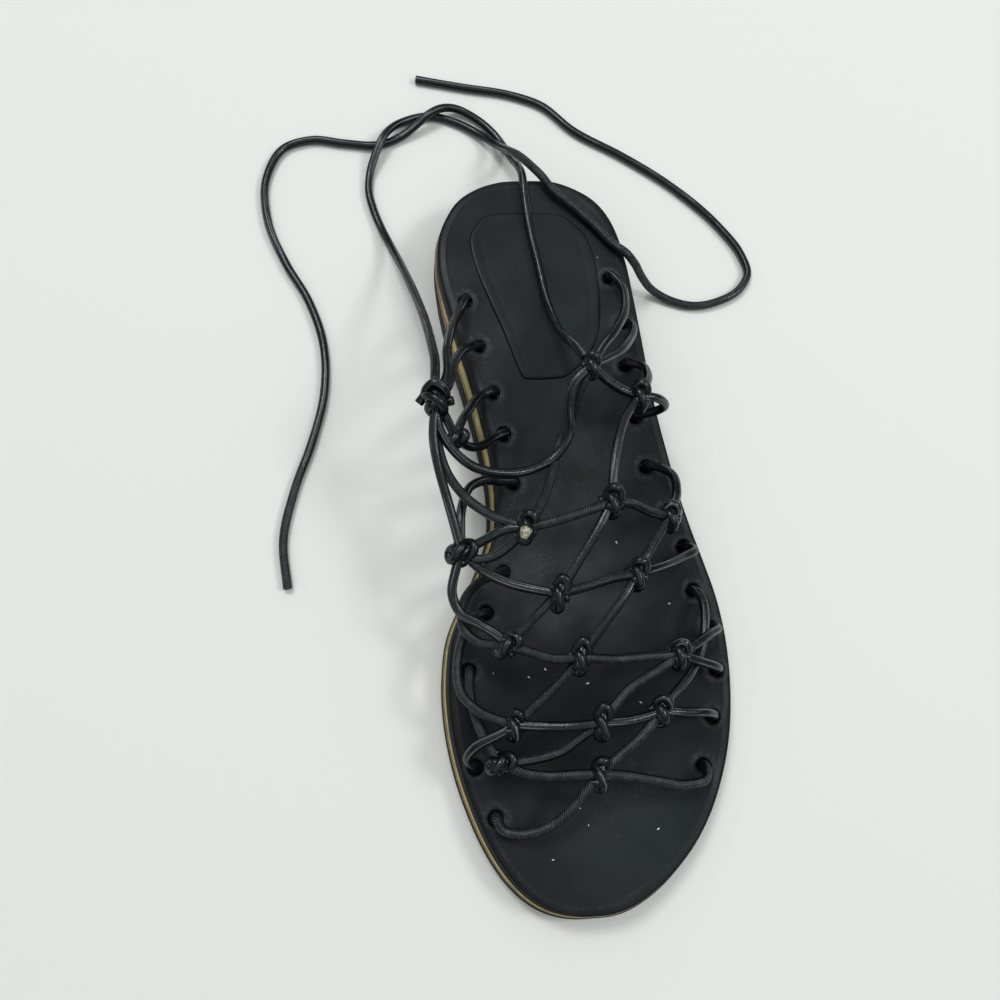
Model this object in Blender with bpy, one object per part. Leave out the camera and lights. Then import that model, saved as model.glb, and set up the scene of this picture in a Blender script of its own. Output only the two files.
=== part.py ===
"""A left gladiator sandal: a low leather sole with a net of knotted round cords and two free ties.

The toe points to -Y, the heel to +Y, the outer (lateral) side to +X, and the floor is z = 0.
The origin is the centre of the heel's base. Lengths are in metres.
"""

import math
from typing import NamedTuple

import bmesh
import bpy
import numpy as np
from mathutils import Matrix, Vector

# Driving sizes of the sole
FOOTBED_LENGTH = 0.250
BALL_WIDTH = 0.094
FOOTBED_THICKNESS = 0.0032
FOOTBED_DISH = 0.0008
FOOTBED_EDGE_ROUND = 0.0012
ROUND_MIDDLE = 0.3
MIDSOLE_THICKNESS = 0.0030
MIDSOLE_STEP = 0.0027
MIDSOLE_EDGE_ROUND = 0.0002
MIDSOLE_GROOVE = 0.0004
OUTSOLE_THICKNESS = 0.0020
OUTSOLE_STEP = 0.0018
OUTSOLE_CHAMFER = 0.0006
HEEL_HEIGHT = 0.0100
HEEL_LENGTH = 0.066
HEEL_TAPER = 0.0012
HEEL_SEAM = 0.0003
HEEL_CHAMFER = 0.0004
TOE_SPRING = 0.0045
GAP = 0.0003
CUTTER_OVERRUN = 4.0

# Driving sizes of the heel pad
PAD_THICKNESS = 0.0012
PAD_PROUD = 0.0006
PAD_EDGE_ROUND = 0.0005

# Driving sizes of the cords
CORD_DIAMETER = 0.0030
HOLE_CLEARANCE = 0.0008
NET_RISE = 0.030
KNOT_LENGTH = 0.0100
KNOT_WIDTH = 0.0072
NET_POINT_SPACING = 0.0070
TIE_POINT_SPACING = 0.0080
TIE_START_GAP = 0.0006
FLOOR_GAP = 0.0002
STUB_RISE = 0.6

# Where along the footbed, from the heel's back edge to the toe, things lie
ORIGIN_ALONG = 0.13
HEEL_SEAT_END = 0.20
FOREFOOT_START = 0.62
TOE_SPRING_START = 0.78
NARROWEST_HALF = 0.1

OUTLINE_STATIONS = 32
PAD_STATIONS = 14
DISH_COLUMNS = 4
HOLE_SIDES = 12
KNOT_SEGMENTS = 8
KNOT_RINGS = 5
NET_SIDES = 6
TIE_SIDES = 8
CURVE_SAMPLES = 600


class Hole(NamedTuple):
    """A cord hole: its side, its share of the length, and its inset from the edge by ball width."""

    side: str
    along: float
    inset: float


class Knot(NamedTuple):
    """A knot: place as shares, turn in degrees from the heel-to-toe line, size as shares of a knot.

    along is a share of the length, across of the ball width and rise of the net's rise.
    """

    along: float
    across: float
    rise: float
    turn: float
    length: float
    width: float


class Cord(NamedTuple):
    """A cord of the net: its two ends, and the points between as along, across and rise shares."""

    start: str
    end: str
    between: tuple


# The footbed's edges: along as a share of the length, medial and lateral as shares of the ball width
OUTLINE_COLUMNS = ("along", "medial", "lateral")
FOOTBED_OUTLINE = (
    (0.000, -0.046, -0.014),
    (0.012, -0.214, 0.130),
    (0.033, -0.302, 0.216),
    (0.060, -0.352, 0.268),
    (0.094, -0.386, 0.302),
    (0.135, -0.394, 0.322),
    (0.200, -0.366, 0.340),
    (0.250, -0.334, 0.352),
    (0.300, -0.297, 0.366),
    (0.360, -0.258, 0.388),
    (0.420, -0.228, 0.420),
    (0.470, -0.218, 0.448),
    (0.520, -0.230, 0.484),
    (0.570, -0.286, 0.523),
    (0.610, -0.345, 0.550),
    (0.650, -0.395, 0.566),
    (0.700, -0.419, 0.571),
    (0.760, -0.419, 0.560),
    (0.820, -0.394, 0.526),
    (0.870, -0.355, 0.473),
    (0.915, -0.306, 0.401),
    (0.955, -0.240, 0.298),
    (0.985, -0.150, 0.182),
    (1.000, 0.004, 0.036),
)

# The heel pad's edges: along as a share of the pad's own length
PAD_START = 0.056
PAD_END = 0.309
PAD_OUTLINE = (
    (0.00, -0.170, 0.060),
    (0.05, -0.232, 0.122),
    (0.15, -0.268, 0.176),
    (0.35, -0.252, 0.206),
    (0.55, -0.208, 0.208),
    (0.75, -0.160, 0.190),
    (0.90, -0.128, 0.134),
    (0.97, -0.110, 0.080),
    (1.00, -0.090, 0.030),
)

# How much of its step each lower layer stands out past the layer above, at each share of the length
STEP_COLUMNS = ("along", "midsole_medial", "outsole_medial", "both_lateral")
STEPS = (
    (0.00, 0.20, 0.10, 0.20),
    (0.12, 0.22, 0.10, 0.22),
    (0.20, 0.70, 0.60, 0.26),
    (0.28, 1.00, 1.00, 0.28),
    (0.37, 0.95, 0.95, 0.28),
    (0.46, 0.80, 0.75, 0.28),
    (0.58, 0.64, 0.40, 0.28),
    (0.68, 0.62, 0.26, 0.28),
    (0.85, 0.62, 0.26, 0.28),
    (0.95, 0.56, 0.26, 0.28),
    (1.00, 0.50, 0.26, 0.30),
)

# The footbed's cord holes: side, along, and inset from the edge as a share of the ball width
HOLES = {
    "lat01": Hole("lateral", 0.161, 0.081),
    "lat02": Hole("lateral", 0.230, 0.062),
    "lat03": Hole("lateral", 0.293, 0.082),
    "lat04": Hole("lateral", 0.367, 0.087),
    "lat05": Hole("lateral", 0.436, 0.096),
    "lat06": Hole("lateral", 0.497, 0.066),
    "lat07": Hole("lateral", 0.548, 0.058),
    "lat08": Hole("lateral", 0.607, 0.079),
    "lat09": Hole("lateral", 0.657, 0.053),
    "lat10": Hole("lateral", 0.714, 0.051),
    "lat11": Hole("lateral", 0.773, 0.069),
    "lat12": Hole("lateral", 0.833, 0.080),
    "med01": Hole("medial", 0.193, 0.074),
    "med02": Hole("medial", 0.261, 0.070),
    "med03": Hole("medial", 0.328, 0.064),
    "med04": Hole("medial", 0.386, 0.062),
    "med05": Hole("medial", 0.453, 0.064),
    "med06": Hole("medial", 0.571, 0.080),
    "med07": Hole("medial", 0.624, 0.088),
    "med08": Hole("medial", 0.698, 0.070),
    "med09": Hole("medial", 0.818, 0.053),
    "med10": Hole("medial", 0.879, 0.062),
}

# The net's knots: along, across as a share of the ball width, rise as a share of the net's rise,
# turn in degrees of the long axis from the heel-to-toe line, length and width as shares of a knot
KNOTS = {
    "ankle_lateral": Knot(0.338, 0.093, 0.93, 10, 0.85, 0.85),
    "ankle_edge": Knot(0.370, 0.266, 0.73, 15, 1.00, 0.95),
    "ankle_medial": Knot(0.383, -0.435, 1.07, 0, 1.05, 1.25),
    "ankle_small": Knot(0.424, -0.372, 0.87, 70, 0.80, 0.80),
    "instep_middle": Knot(0.512, 0.128, 1.00, 15, 1.00, 1.00),
    "instep_edge": Knot(0.524, 0.348, 0.67, 10, 0.95, 0.95),
    "instep_worn": Knot(0.540, -0.158, 1.00, 20, 1.00, 0.95),
    "instep_medial": Knot(0.562, -0.370, 0.80, 75, 1.00, 1.05),
    "ball_upper": Knot(0.620, -0.063, 0.90, 20, 1.10, 0.90),
    "ball_lateral": Knot(0.599, 0.206, 0.83, 15, 1.05, 0.95),
    "ball_medial": Knot(0.676, -0.232, 0.67, 60, 0.95, 0.95),
    "ball_middle": Knot(0.696, 0.000, 0.73, 15, 1.15, 0.90),
    "ball_edge": Knot(0.697, 0.342, 0.57, 20, 0.95, 0.95),
    "toe_medial": Knot(0.771, -0.220, 0.50, 15, 0.95, 0.90),
    "toe_middle": Knot(0.775, 0.060, 0.60, 10, 1.10, 0.90),
    "toe_edge": Knot(0.764, 0.268, 0.50, 15, 0.95, 0.95),
    "toe_low": Knot(0.814, -0.269, 0.40, 75, 0.95, 0.95),
    "toe_front": Knot(0.834, 0.048, 0.47, 10, 1.10, 0.90),
}

# The net's cords: from, to, and the points between as along, across and rise shares
CORDS = (
    Cord("lat01", "ankle_lateral", (
        (0.176, 0.272, 0.13), (0.225, 0.270, 0.37), (0.280, 0.200, 0.67), (0.315, 0.130, 0.85))),
    Cord("lat02", "ankle_lateral", ((0.243, 0.302, 0.17), (0.280, 0.268, 0.43), (0.315, 0.185, 0.70))),
    Cord("ankle_lateral", "ankle_edge", ((0.353, 0.150, 0.83), (0.363, 0.210, 0.75))),
    Cord("lat03", "ankle_edge", ((0.300, 0.322, 0.14), (0.327, 0.328, 0.40), (0.352, 0.296, 0.63))),
    Cord("ankle_edge", "lat04", ((0.370, 0.330, 0.67), (0.371, 0.378, 0.43), (0.369, 0.332, 0.16))),
    Cord("ankle_edge", "instep_middle", (
        (0.398, 0.208, 0.83), (0.445, 0.158, 0.95), (0.485, 0.136, 1.00))),
    Cord("ankle_lateral", "ankle_medial", (
        (0.357, 0.034, 0.92), (0.385, 0.016, 0.78), (0.412, 0.022, 0.63), (0.439, -0.030, 0.57),
        (0.456, -0.120, 0.60), (0.462, -0.225, 0.70), (0.456, -0.325, 0.83), (0.436, -0.393, 0.95),
        (0.412, -0.430, 1.03))),
    Cord("ankle_lateral", "instep_worn", (
        (0.360, 0.066, 0.85), (0.385, 0.040, 0.63), (0.412, -0.002, 0.47), (0.460, -0.044, 0.60),
        (0.508, -0.100, 0.85))),
    Cord("med01", "ankle_medial", (
        (0.215, -0.318, 0.19), (0.258, -0.360, 0.47), (0.306, -0.388, 0.76), (0.350, -0.396, 0.98))),
    Cord("med02", "ankle_medial", (
        (0.270, -0.288, 0.16), (0.288, -0.330, 0.38), (0.318, -0.366, 0.60), (0.355, -0.388, 0.84))),
    Cord("med03", "ankle_small", ((0.338, -0.262, 0.15), (0.372, -0.318, 0.47), (0.405, -0.358, 0.77))),
    Cord("med04", "ankle_small", ((0.395, -0.222, 0.15), (0.414, -0.270, 0.38), (0.426, -0.328, 0.67))),
    Cord("ankle_small", "ankle_medial", ((0.402, -0.405, 1.00),)),
    Cord("ankle_medial", "instep_medial", (
        (0.428, -0.447, 1.04), (0.464, -0.434, 1.00), (0.499, -0.410, 0.93), (0.532, -0.388, 0.87))),
    Cord("ankle_medial", "instep_worn", (
        (0.435, -0.432, 0.93), (0.464, -0.408, 0.88), (0.494, -0.355, 0.87), (0.519, -0.280, 0.92))),
    Cord("med05", "instep_medial", (
        (0.455, -0.205, 0.15), (0.460, -0.272, 0.37), (0.477, -0.332, 0.58), (0.505, -0.360, 0.72))),
    Cord("instep_worn", "instep_medial", ((0.540, -0.225, 0.95), (0.550, -0.292, 0.88))),
    Cord("instep_worn", "instep_medial", (
        (0.558, -0.212, 0.90), (0.570, -0.268, 0.84), (0.572, -0.318, 0.82))),
    Cord("instep_worn", "instep_middle", ((0.536, -0.082, 1.03), (0.525, 0.030, 1.04))),
    Cord("instep_middle", "instep_edge", ((0.514, 0.193, 0.95), (0.522, 0.270, 0.82))),
    Cord("instep_middle", "ball_upper", ((0.548, 0.070, 1.00), (0.583, 0.006, 0.96))),
    Cord("lat05", "instep_edge", ((0.441, 0.360, 0.14), (0.458, 0.398, 0.32), (0.487, 0.392, 0.52))),
    Cord("instep_edge", "lat06", ((0.514, 0.394, 0.46), (0.503, 0.412, 0.23))),
    Cord("instep_edge", "ball_lateral", ((0.552, 0.290, 0.76), (0.578, 0.240, 0.83))),
    Cord("ball_lateral", "lat07", ((0.588, 0.295, 0.67), (0.571, 0.400, 0.40), (0.556, 0.468, 0.20))),
    Cord("ball_lateral", "ball_upper", ((0.604, 0.120, 0.87), (0.613, 0.030, 0.90))),
    Cord("ball_lateral", "ball_middle", ((0.633, 0.140, 0.85), (0.664, 0.068, 0.80))),
    Cord("ball_upper", "instep_medial", (
        (0.613, -0.134, 0.84), (0.601, -0.228, 0.78), (0.586, -0.300, 0.77))),
    Cord("ball_upper", "ball_medial", ((0.640, -0.126, 0.83), (0.658, -0.178, 0.74))),
    Cord("instep_medial", "ball_medial", (
        (0.586, -0.392, 0.76), (0.611, -0.404, 0.70), (0.634, -0.378, 0.64), (0.648, -0.320, 0.63),
        (0.662, -0.268, 0.66))),
    Cord("med06", "ball_medial", (
        (0.577, -0.238, 0.16), (0.594, -0.318, 0.36), (0.622, -0.368, 0.46), (0.651, -0.368, 0.50),
        (0.669, -0.325, 0.56))),
    Cord("med07", "toe_medial", (
        (0.631, -0.322, 0.14), (0.663, -0.372, 0.30), (0.698, -0.394, 0.37), (0.731, -0.382, 0.42),
        (0.752, -0.330, 0.46))),
    Cord("ball_medial", "ball_middle", ((0.686, -0.162, 0.68), (0.696, -0.082, 0.71))),
    Cord("ball_middle", "ball_edge", ((0.700, 0.114, 0.71), (0.698, 0.230, 0.64))),
    Cord("ball_middle", "toe_medial", ((0.717, -0.052, 0.66), (0.742, -0.127, 0.58))),
    Cord("ball_edge", "lat09", ((0.686, 0.402, 0.50), (0.670, 0.480, 0.33), (0.661, 0.524, 0.17))),
    Cord("ball_edge", "lat10", ((0.705, 0.420, 0.43), (0.712, 0.496, 0.26))),
    Cord("ball_edge", "toe_middle", ((0.713, 0.272, 0.58), (0.735, 0.165, 0.61))),
    Cord("lat08", "toe_edge", (
        (0.620, 0.482, 0.14), (0.655, 0.474, 0.25), (0.695, 0.438, 0.29), (0.720, 0.392, 0.36),
        (0.744, 0.322, 0.45))),
    Cord("toe_medial", "toe_middle", ((0.774, -0.134, 0.54), (0.776, -0.040, 0.60))),
    Cord("toe_medial", "med09", ((0.782, -0.282, 0.46), (0.794, -0.348, 0.36), (0.808, -0.372, 0.20))),
    Cord("med08", "toe_low", (
        (0.718, -0.352, 0.14), (0.748, -0.345, 0.24), (0.775, -0.325, 0.32), (0.800, -0.292, 0.37))),
    Cord("toe_middle", "toe_edge", ((0.774, 0.140, 0.58), (0.770, 0.208, 0.54))),
    Cord("toe_middle", "toe_low", (
        (0.788, 0.000, 0.54), (0.804, -0.066, 0.47), (0.812, -0.154, 0.43), (0.814, -0.214, 0.41))),
    Cord("toe_edge", "lat11", ((0.767, 0.349, 0.44), (0.769, 0.450, 0.28))),
    Cord("toe_edge", "toe_front", ((0.788, 0.208, 0.50), (0.817, 0.106, 0.48))),
    Cord("toe_low", "toe_front", ((0.827, -0.198, 0.41), (0.833, -0.104, 0.44), (0.833, -0.022, 0.47))),
    Cord("toe_front", "lat12", (
        (0.838, 0.131, 0.41), (0.847, 0.246, 0.31), (0.854, 0.342, 0.23), (0.848, 0.425, 0.16))),
    Cord("toe_front", "med10", (
        (0.853, 0.002, 0.41), (0.876, -0.055, 0.31), (0.893, -0.126, 0.23), (0.899, -0.209, 0.18),
        (0.893, -0.268, 0.14))),
)

# The free ties' routes by hand after the knot that each leaves: along, across, lift and over.
# A lift of 0 lies on the floor and a lift of 1 on the rim of the heel seat.
# over adds cord diameters, 1 and more where the tie lies across the other one.
# The first row only gives the way in which the tie leaves its knot.
TIE_LATERAL_KNOT = "ankle_lateral"
TIE_LATERAL_ROUTE = (
    (0.305, 0.055, 2.08, 0.0), (0.305, 0.052, 2.07, 0.0), (0.270, 0.024, 1.6, 0.0),
    (0.230, 0.010, 1.2, 0.0), (0.190, -0.004, 1.02, 0.0), (0.150, -0.017, 0.998, 0.0),
    (0.089, -0.041, 0.998, 0.0), (0.035, -0.052, 1.005, 0.0), (0.003, -0.055, 1.01, 0.0),
    (-0.030, -0.058, 0.71, 0.0), (-0.068, -0.070, 0.26, 0.0), (-0.100, -0.092, 0.03, 0.0),
    (-0.128, -0.135, 0.0, 0.0), (-0.154, -0.206, 0.01, 0.0), (-0.167, -0.290, 0.0, 0.5),
    (-0.161, -0.345, 0.0, 1.13), (-0.150, -0.395, 0.0, 1.25), (-0.136, -0.445, 0.0, 0.69),
    (-0.120, -0.510, 0.0, 0.06), (-0.106, -0.600, 0.0, 0.0), (-0.108, -0.740, 0.0, 0.0),
    (-0.114, -0.870, 0.0, 0.0), (-0.100, -0.980, 0.0, 0.0), (-0.050, -1.050, 0.0, 0.0),
    (0.025, -1.045, 0.0, 0.0), (0.095, -0.975, 0.0, 0.0), (0.155, -0.890, 0.0, 0.0),
    (0.225, -0.835, 0.0, 0.0), (0.300, -0.835, 0.0, 0.0), (0.370, -0.880, 0.0, 0.0),
    (0.440, -0.945, 0.0, 0.0), (0.510, -0.985, 0.0, 0.0), (0.575, -0.970, 0.0, 0.0),
)
TIE_MEDIAL_KNOT = "ankle_medial"
TIE_MEDIAL_ROUTE = (
    (0.356, -0.436, 2.49, 0.0), (0.329, -0.432, 2.33, 0.0), (0.303, -0.438, 2.12, 0.0),
    (0.275, -0.446, 1.88, 0.0), (0.243, -0.458, 1.59, 0.0), (0.205, -0.477, 1.24, 0.0),
    (0.164, -0.501, 0.87, 0.0), (0.122, -0.529, 0.5, 0.0), (0.079, -0.565, 0.19, 0.0),
    (0.040, -0.602, 0.03, 0.0), (0.006, -0.632, 0.0, 0.0), (-0.024, -0.648, 0.0, 0.0),
    (-0.054, -0.642, 0.0, 0.13), (-0.086, -0.612, 0.0, 0.94), (-0.107, -0.586, 0.0, 1.32),
    (-0.126, -0.555, 0.0, 0.88), (-0.148, -0.490, 0.0, 0.06), (-0.157, -0.396, 0.0, 0.0),
    (-0.145, -0.280, 0.0, 0.0), (-0.120, -0.182, 0.05, 0.0), (-0.088, -0.118, 0.08, 1.25),
    (-0.066, -0.088, 0.28, 1.75), (-0.040, -0.054, 0.59, 1.69), (-0.014, -0.014, 0.83, 1.19),
    (0.004, 0.018, 0.96, 0.69), (0.022, 0.052, 1.0, 0.25), (0.046, 0.120, 1.01, 0.0),
    (0.076, 0.197, 1.005, 0.0), (0.113, 0.277, 1.01, 0.0), (0.126, 0.318, 1.02, 0.0),
    (0.135, 0.360, 0.81, 0.0), (0.142, 0.402, 0.46, 0.0), (0.150, 0.460, 0.11, 0.0),
    (0.163, 0.531, 0.01, 0.0), (0.172, 0.620, 0.0, 0.0), (0.165, 0.735, 0.0, 0.0),
    (0.146, 0.825, 0.0, 0.0), (0.120, 0.868, 0.0, 0.0), (0.088, 0.852, 0.0, 0.0),
    (0.041, 0.778, 0.0, 0.0), (-0.030, 0.600, 0.0, 0.0), (-0.086, 0.400, 0.0, 0.0),
    (-0.132, 0.204, 0.0, 0.0), (-0.178, 0.076, 0.0, 0.0), (-0.197, -0.052, 0.0, 0.0),
    (-0.209, -0.232, 0.0, 0.0), (-0.224, -0.440, 0.0, 0.0),
)

BLACK_LEATHER = ((0.030, 0.033, 0.036, 1.0), 0.42)
TAN_LEATHER = ((0.300, 0.235, 0.140, 1.0), 0.60)
SOLE_RUBBER = ((0.020, 0.020, 0.021, 1.0), 0.65)
CORD_LEATHER = ((0.018, 0.019, 0.020, 1.0), 0.45)


def clear_scene():
    """Removes every object of the open file."""
    for item in list(bpy.data.objects):
        bpy.data.objects.remove(item, do_unlink=True)


def new_collection(name):
    """A collection linked to the scene."""
    collection = bpy.data.collections.new(name)
    bpy.context.scene.collection.children.link(collection)
    return collection


def new_material(name, finish):
    """A Principled material from a base colour and a roughness."""
    colour, roughness = finish
    material = bpy.data.materials.new(name)
    material.use_nodes = True
    shader = material.node_tree.nodes["Principled BSDF"]
    shader.inputs["Base Color"].default_value = colour
    shader.inputs["Roughness"].default_value = roughness
    shader.inputs["Metallic"].default_value = 0.0
    material.diffuse_color = colour
    return material


def new_object(name, mesh, collection, material=None):
    """An object of a mesh in a collection, with its own material."""
    thing = bpy.data.objects.new(name, mesh)
    collection.objects.link(thing)
    if material is not None:
        mesh.materials.append(material)
    return thing


def mesh_from(name, vertices, faces):
    """A mesh from an array of vertices and a list of faces."""
    mesh = bpy.data.meshes.new(name)
    mesh.from_pydata([tuple(row) for row in np.asarray(vertices, float)], [], faces)
    mesh.update()
    return mesh


def smooth_step(value):
    """0 to 1 with level ends, for a value clipped to 0..1."""
    value = np.clip(value, 0.0, 1.0)
    return value * value * (3.0 - 2.0 * value)


def curve_through(known, values, wanted):
    """Cubic through known points, with each slope taken from its two neighbours."""
    known = np.asarray(known, float)
    values = np.asarray(values, float)
    slopes = np.gradient(values, known)
    index = np.clip(np.searchsorted(known, wanted) - 1, 0, len(known) - 2)
    width = known[index + 1] - known[index]
    t = (wanted - known[index]) / width
    return ((2 * t**3 - 3 * t**2 + 1) * values[index] + (t**3 - 2 * t**2 + t) * width * slopes[index]
            + (3 * t**2 - 2 * t**3) * values[index + 1] + (t**3 - t**2) * width * slopes[index + 1])


def end_parameter(share):
    """Spreads the two round ends: equal steps of this parameter are short steps of the share there."""
    return np.arccos(1.0 - 2.0 * np.clip(share, 0.0, 1.0)) / math.pi


def share_at(parameter):
    """The share of the length at an end parameter."""
    return 0.5 - 0.5 * np.cos(math.pi * parameter)


def y_at(along):
    """Place on Y of a share of the footbed's length, counted from the heel's back edge."""
    return (ORIGIN_ALONG - along) * FOOTBED_LENGTH


def along_at(y):
    """Share of the footbed's length at a place on Y."""
    return ORIGIN_ALONG - y / FOOTBED_LENGTH


def columns(names, table):
    """The table's columns by name."""
    return dict(zip(names, np.asarray(table, float).T))


def table_edges(table, share):
    """Medial and lateral edge, in metres, of an outline table at a share of its own length."""
    column = columns(OUTLINE_COLUMNS, table)
    known = end_parameter(column["along"])
    wanted = end_parameter(share)
    return (curve_through(known, column["medial"], wanted) * BALL_WIDTH,
            curve_through(known, column["lateral"], wanted) * BALL_WIDTH)


def sole_underside(along):
    """Height of the outsole's underside: heel seat, slope of the arch, flat forefoot and toe spring."""
    arch = 1.0 - smooth_step((along - HEEL_SEAT_END) / (FOREFOOT_START - HEEL_SEAT_END))
    spring = np.clip((along - TOE_SPRING_START) / (1.0 - TOE_SPRING_START), 0.0, 1.1) ** 2
    return HEEL_HEIGHT * arch + TOE_SPRING * spring


def outsole_top(along):
    """Height of the outsole's upper face."""
    return sole_underside(along) + OUTSOLE_THICKNESS


def midsole_bottom(along):
    """Height of the midsole's lower face."""
    return outsole_top(along) + GAP


def midsole_top(along):
    """Height of the midsole's upper face."""
    return midsole_bottom(along) + MIDSOLE_THICKNESS


def footbed_bottom(along):
    """Height of the footbed's lower face."""
    return midsole_top(along) + GAP


def footbed_rim(along):
    """Height of the footbed's top at its rim."""
    return footbed_bottom(along) + FOOTBED_THICKNESS


def footbed_surface(x, y):
    """Height of the footbed's top: the rim's height, dished down across the width."""
    along = along_at(y)
    medial, lateral = table_edges(FOOTBED_OUTLINE, along)
    middle = 0.5 * (medial + lateral)
    half = np.maximum(0.5 * (lateral - medial), BALL_WIDTH * NARROWEST_HALF)
    inside = np.clip(1.0 - ((x - middle) / half) ** 2, 0.0, 1.0)
    return footbed_rim(along) - FOOTBED_DISH * smooth_step(inside)


def sole_ring(midsole_step, outsole_step, last=1.0, count=OUTLINE_STATIONS):
    """Stations of the footbed's outline, moved out by the steps of the layers under it.

    Returns an array of stations by side (lateral, medial) by x and y. With last under 1 the
    outline stops there, as the heel does at its breast.
    """
    steps = np.linspace(0.0, float(end_parameter(last)), count)
    if last >= 1.0:
        for line in end_parameter(np.array([FOREFOOT_START, TOE_SPRING_START])):
            steps[np.argmin(np.abs(steps - line))] = line
    share = share_at(steps)
    medial, lateral = table_edges(FOOTBED_OUTLINE, share)
    column = columns(STEP_COLUMNS, STEPS)
    medial_out = (np.interp(share, column["along"], column["midsole_medial"]) * midsole_step
                  + np.interp(share, column["along"], column["outsole_medial"]) * outsole_step)
    lateral_out = np.interp(share, column["along"], column["both_lateral"]) * (midsole_step + outsole_step)
    ends = np.interp(share, (0.0, 1.0), (-lateral_out[0], lateral_out[-1])) / FOOTBED_LENGTH
    ring = np.empty((count, 2, 2))
    ring[:, 0, 0] = lateral + lateral_out
    ring[:, 1, 0] = medial - medial_out
    ring[:, :, 1] = y_at(share + ends)[:, None]
    return ring


def pad_ring(step):
    """Stations of the heel pad's outline moved out by a step, as sole_ring gives them."""
    share = share_at(np.linspace(0.0, 1.0, PAD_STATIONS))
    medial, lateral = table_edges(PAD_OUTLINE, share)
    along = PAD_START + share * (PAD_END - PAD_START) + (2.0 * share - 1.0) * step / FOOTBED_LENGTH
    ring = np.empty((PAD_STATIONS, 2, 2))
    ring[:, 0, 0] = lateral + step
    ring[:, 1, 0] = medial - step
    ring[:, :, 1] = y_at(along)[:, None]
    return ring


def inset_ring(ring, inset):
    """The ring's points moved inwards along the outline's own normals."""
    loop = np.concatenate([ring[:, 0], ring[::-1, 1]])
    tangent = np.roll(loop, -1, axis=0) - np.roll(loop, 1, axis=0)
    tangent /= np.linalg.norm(tangent, axis=1)[:, None]
    inward = np.stack([tangent[:, 1], -tangent[:, 0]], axis=1)
    loop = loop + inward * inset
    count = len(ring)
    return np.stack([loop[:count], loop[count:][::-1]], axis=1)


def layer_mesh(name, ring, profile, top, bottom, strips=1):
    """A closed layer: the side follows profile rows of inset and depth share, top and bottom are filled.

    top and bottom are functions of x and y. The fill runs across between the two sides, with
    the number of strips, so that it can follow a dish.
    """
    count = len(ring)
    loops = []
    for inset, depth in profile:
        placed = inset_ring(ring, inset)
        flat = np.concatenate([placed[:, 0], placed[::-1, 1]])
        high = top(flat[:, 0], flat[:, 1])
        low = bottom(flat[:, 0], flat[:, 1])
        loops.append(np.column_stack([flat, high + (low - high) * depth]))
    vertices = [row for loop in loops for row in loop]
    around = 2 * count
    faces = []
    for level in range(len(profile) - 1):
        for i in range(around):
            j = (i + 1) % around
            high, low = level * around, (level + 1) * around
            faces.append((high + i, low + i, low + j, high + j))

    def fill(level, surface, flip):
        base = level * around
        rows = []
        for i in range(count):
            lateral, medial = base + i, base + around - 1 - i
            row = [lateral]
            if 0 < i < count - 1:
                for strip in range(1, strips):
                    mix = strip / strips
                    x = vertices[lateral][0] * (1 - mix) + vertices[medial][0] * mix
                    y = vertices[lateral][1] * (1 - mix) + vertices[medial][1] * mix
                    vertices.append((x, y, float(surface(np.array([x]), np.array([y]))[0])))
                    row.append(len(vertices) - 1)
            rows.append(row + [medial])
        for first, second in zip(rows[:-1], rows[1:]):
            if len(first) == len(second):
                cells = [(first[k], first[k + 1], second[k + 1], second[k]) for k in range(len(first) - 1)]
            else:
                cells = [tuple(first) + tuple(reversed(second))]
            faces.extend(tuple(reversed(cell)) if flip else cell for cell in cells)

    fill(0, top, True)
    fill(len(profile) - 1, bottom, False)
    mesh = mesh_from(name, vertices, faces)
    orient_outwards(mesh)
    return mesh


def orient_outwards(mesh):
    """Turns all faces of a closed mesh outwards and triangulates its uneven cells."""
    work = bmesh.new()
    work.from_mesh(mesh)
    bmesh.ops.triangulate(work, faces=[face for face in work.faces if len(face.verts) > 4])
    bmesh.ops.recalc_face_normals(work, faces=work.faces)
    work.to_mesh(mesh)
    work.free()


def add_boolean(thing, cutter, operation):
    """An exact boolean of one object on another."""
    modifier = thing.modifiers.new(cutter.name, "BOOLEAN")
    modifier.operation = operation
    modifier.solver = "EXACT"
    modifier.object = cutter


def hide_cutter(cutter):
    """Marks an object as a cutter."""
    cutter.hide_render = True
    cutter.display_type = "WIRE"


def hole_places():
    """Place on X and Y of each cord hole, inset from the footbed's edge on its side."""
    places = {}
    for name, hole in HOLES.items():
        medial, lateral = table_edges(FOOTBED_OUTLINE, hole.along)
        inset = hole.inset * BALL_WIDTH
        x = lateral - inset if hole.side == "lateral" else medial + inset
        places[name] = (float(x), float(y_at(hole.along)))
    return places


def surface_point(x, y, rise):
    """A point at a height above the footbed's rim line."""
    return np.array([x, y, float(footbed_rim(along_at(y))) + rise])


def net_point(along, across, rise):
    """A point of the net from its shares."""
    return surface_point(across * BALL_WIDTH, y_at(along), rise * NET_RISE)


def knot_centre(name):
    """Centre of a knot."""
    knot = KNOTS[name]
    return net_point(knot.along, knot.across, knot.rise)


def knot_halves(knot):
    """Half sizes of a knot, with its length along its own Y."""
    width = knot.width * KNOT_WIDTH / 2
    return np.array([width, knot.length * KNOT_LENGTH / 2, width])


def end_points(name, places):
    """Points of a cord's end, outermost first: a knot's centre, or straight up out of a hole.

    In a hole the cord stops just above the midsole.
    """
    if name in KNOTS:
        return [knot_centre(name)]
    x, y = places[name]
    depth = FOOTBED_THICKNESS - GAP
    return [surface_point(x, y, rise) for rise in (-depth, 0.0, STUB_RISE * CORD_DIAMETER)]


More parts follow.
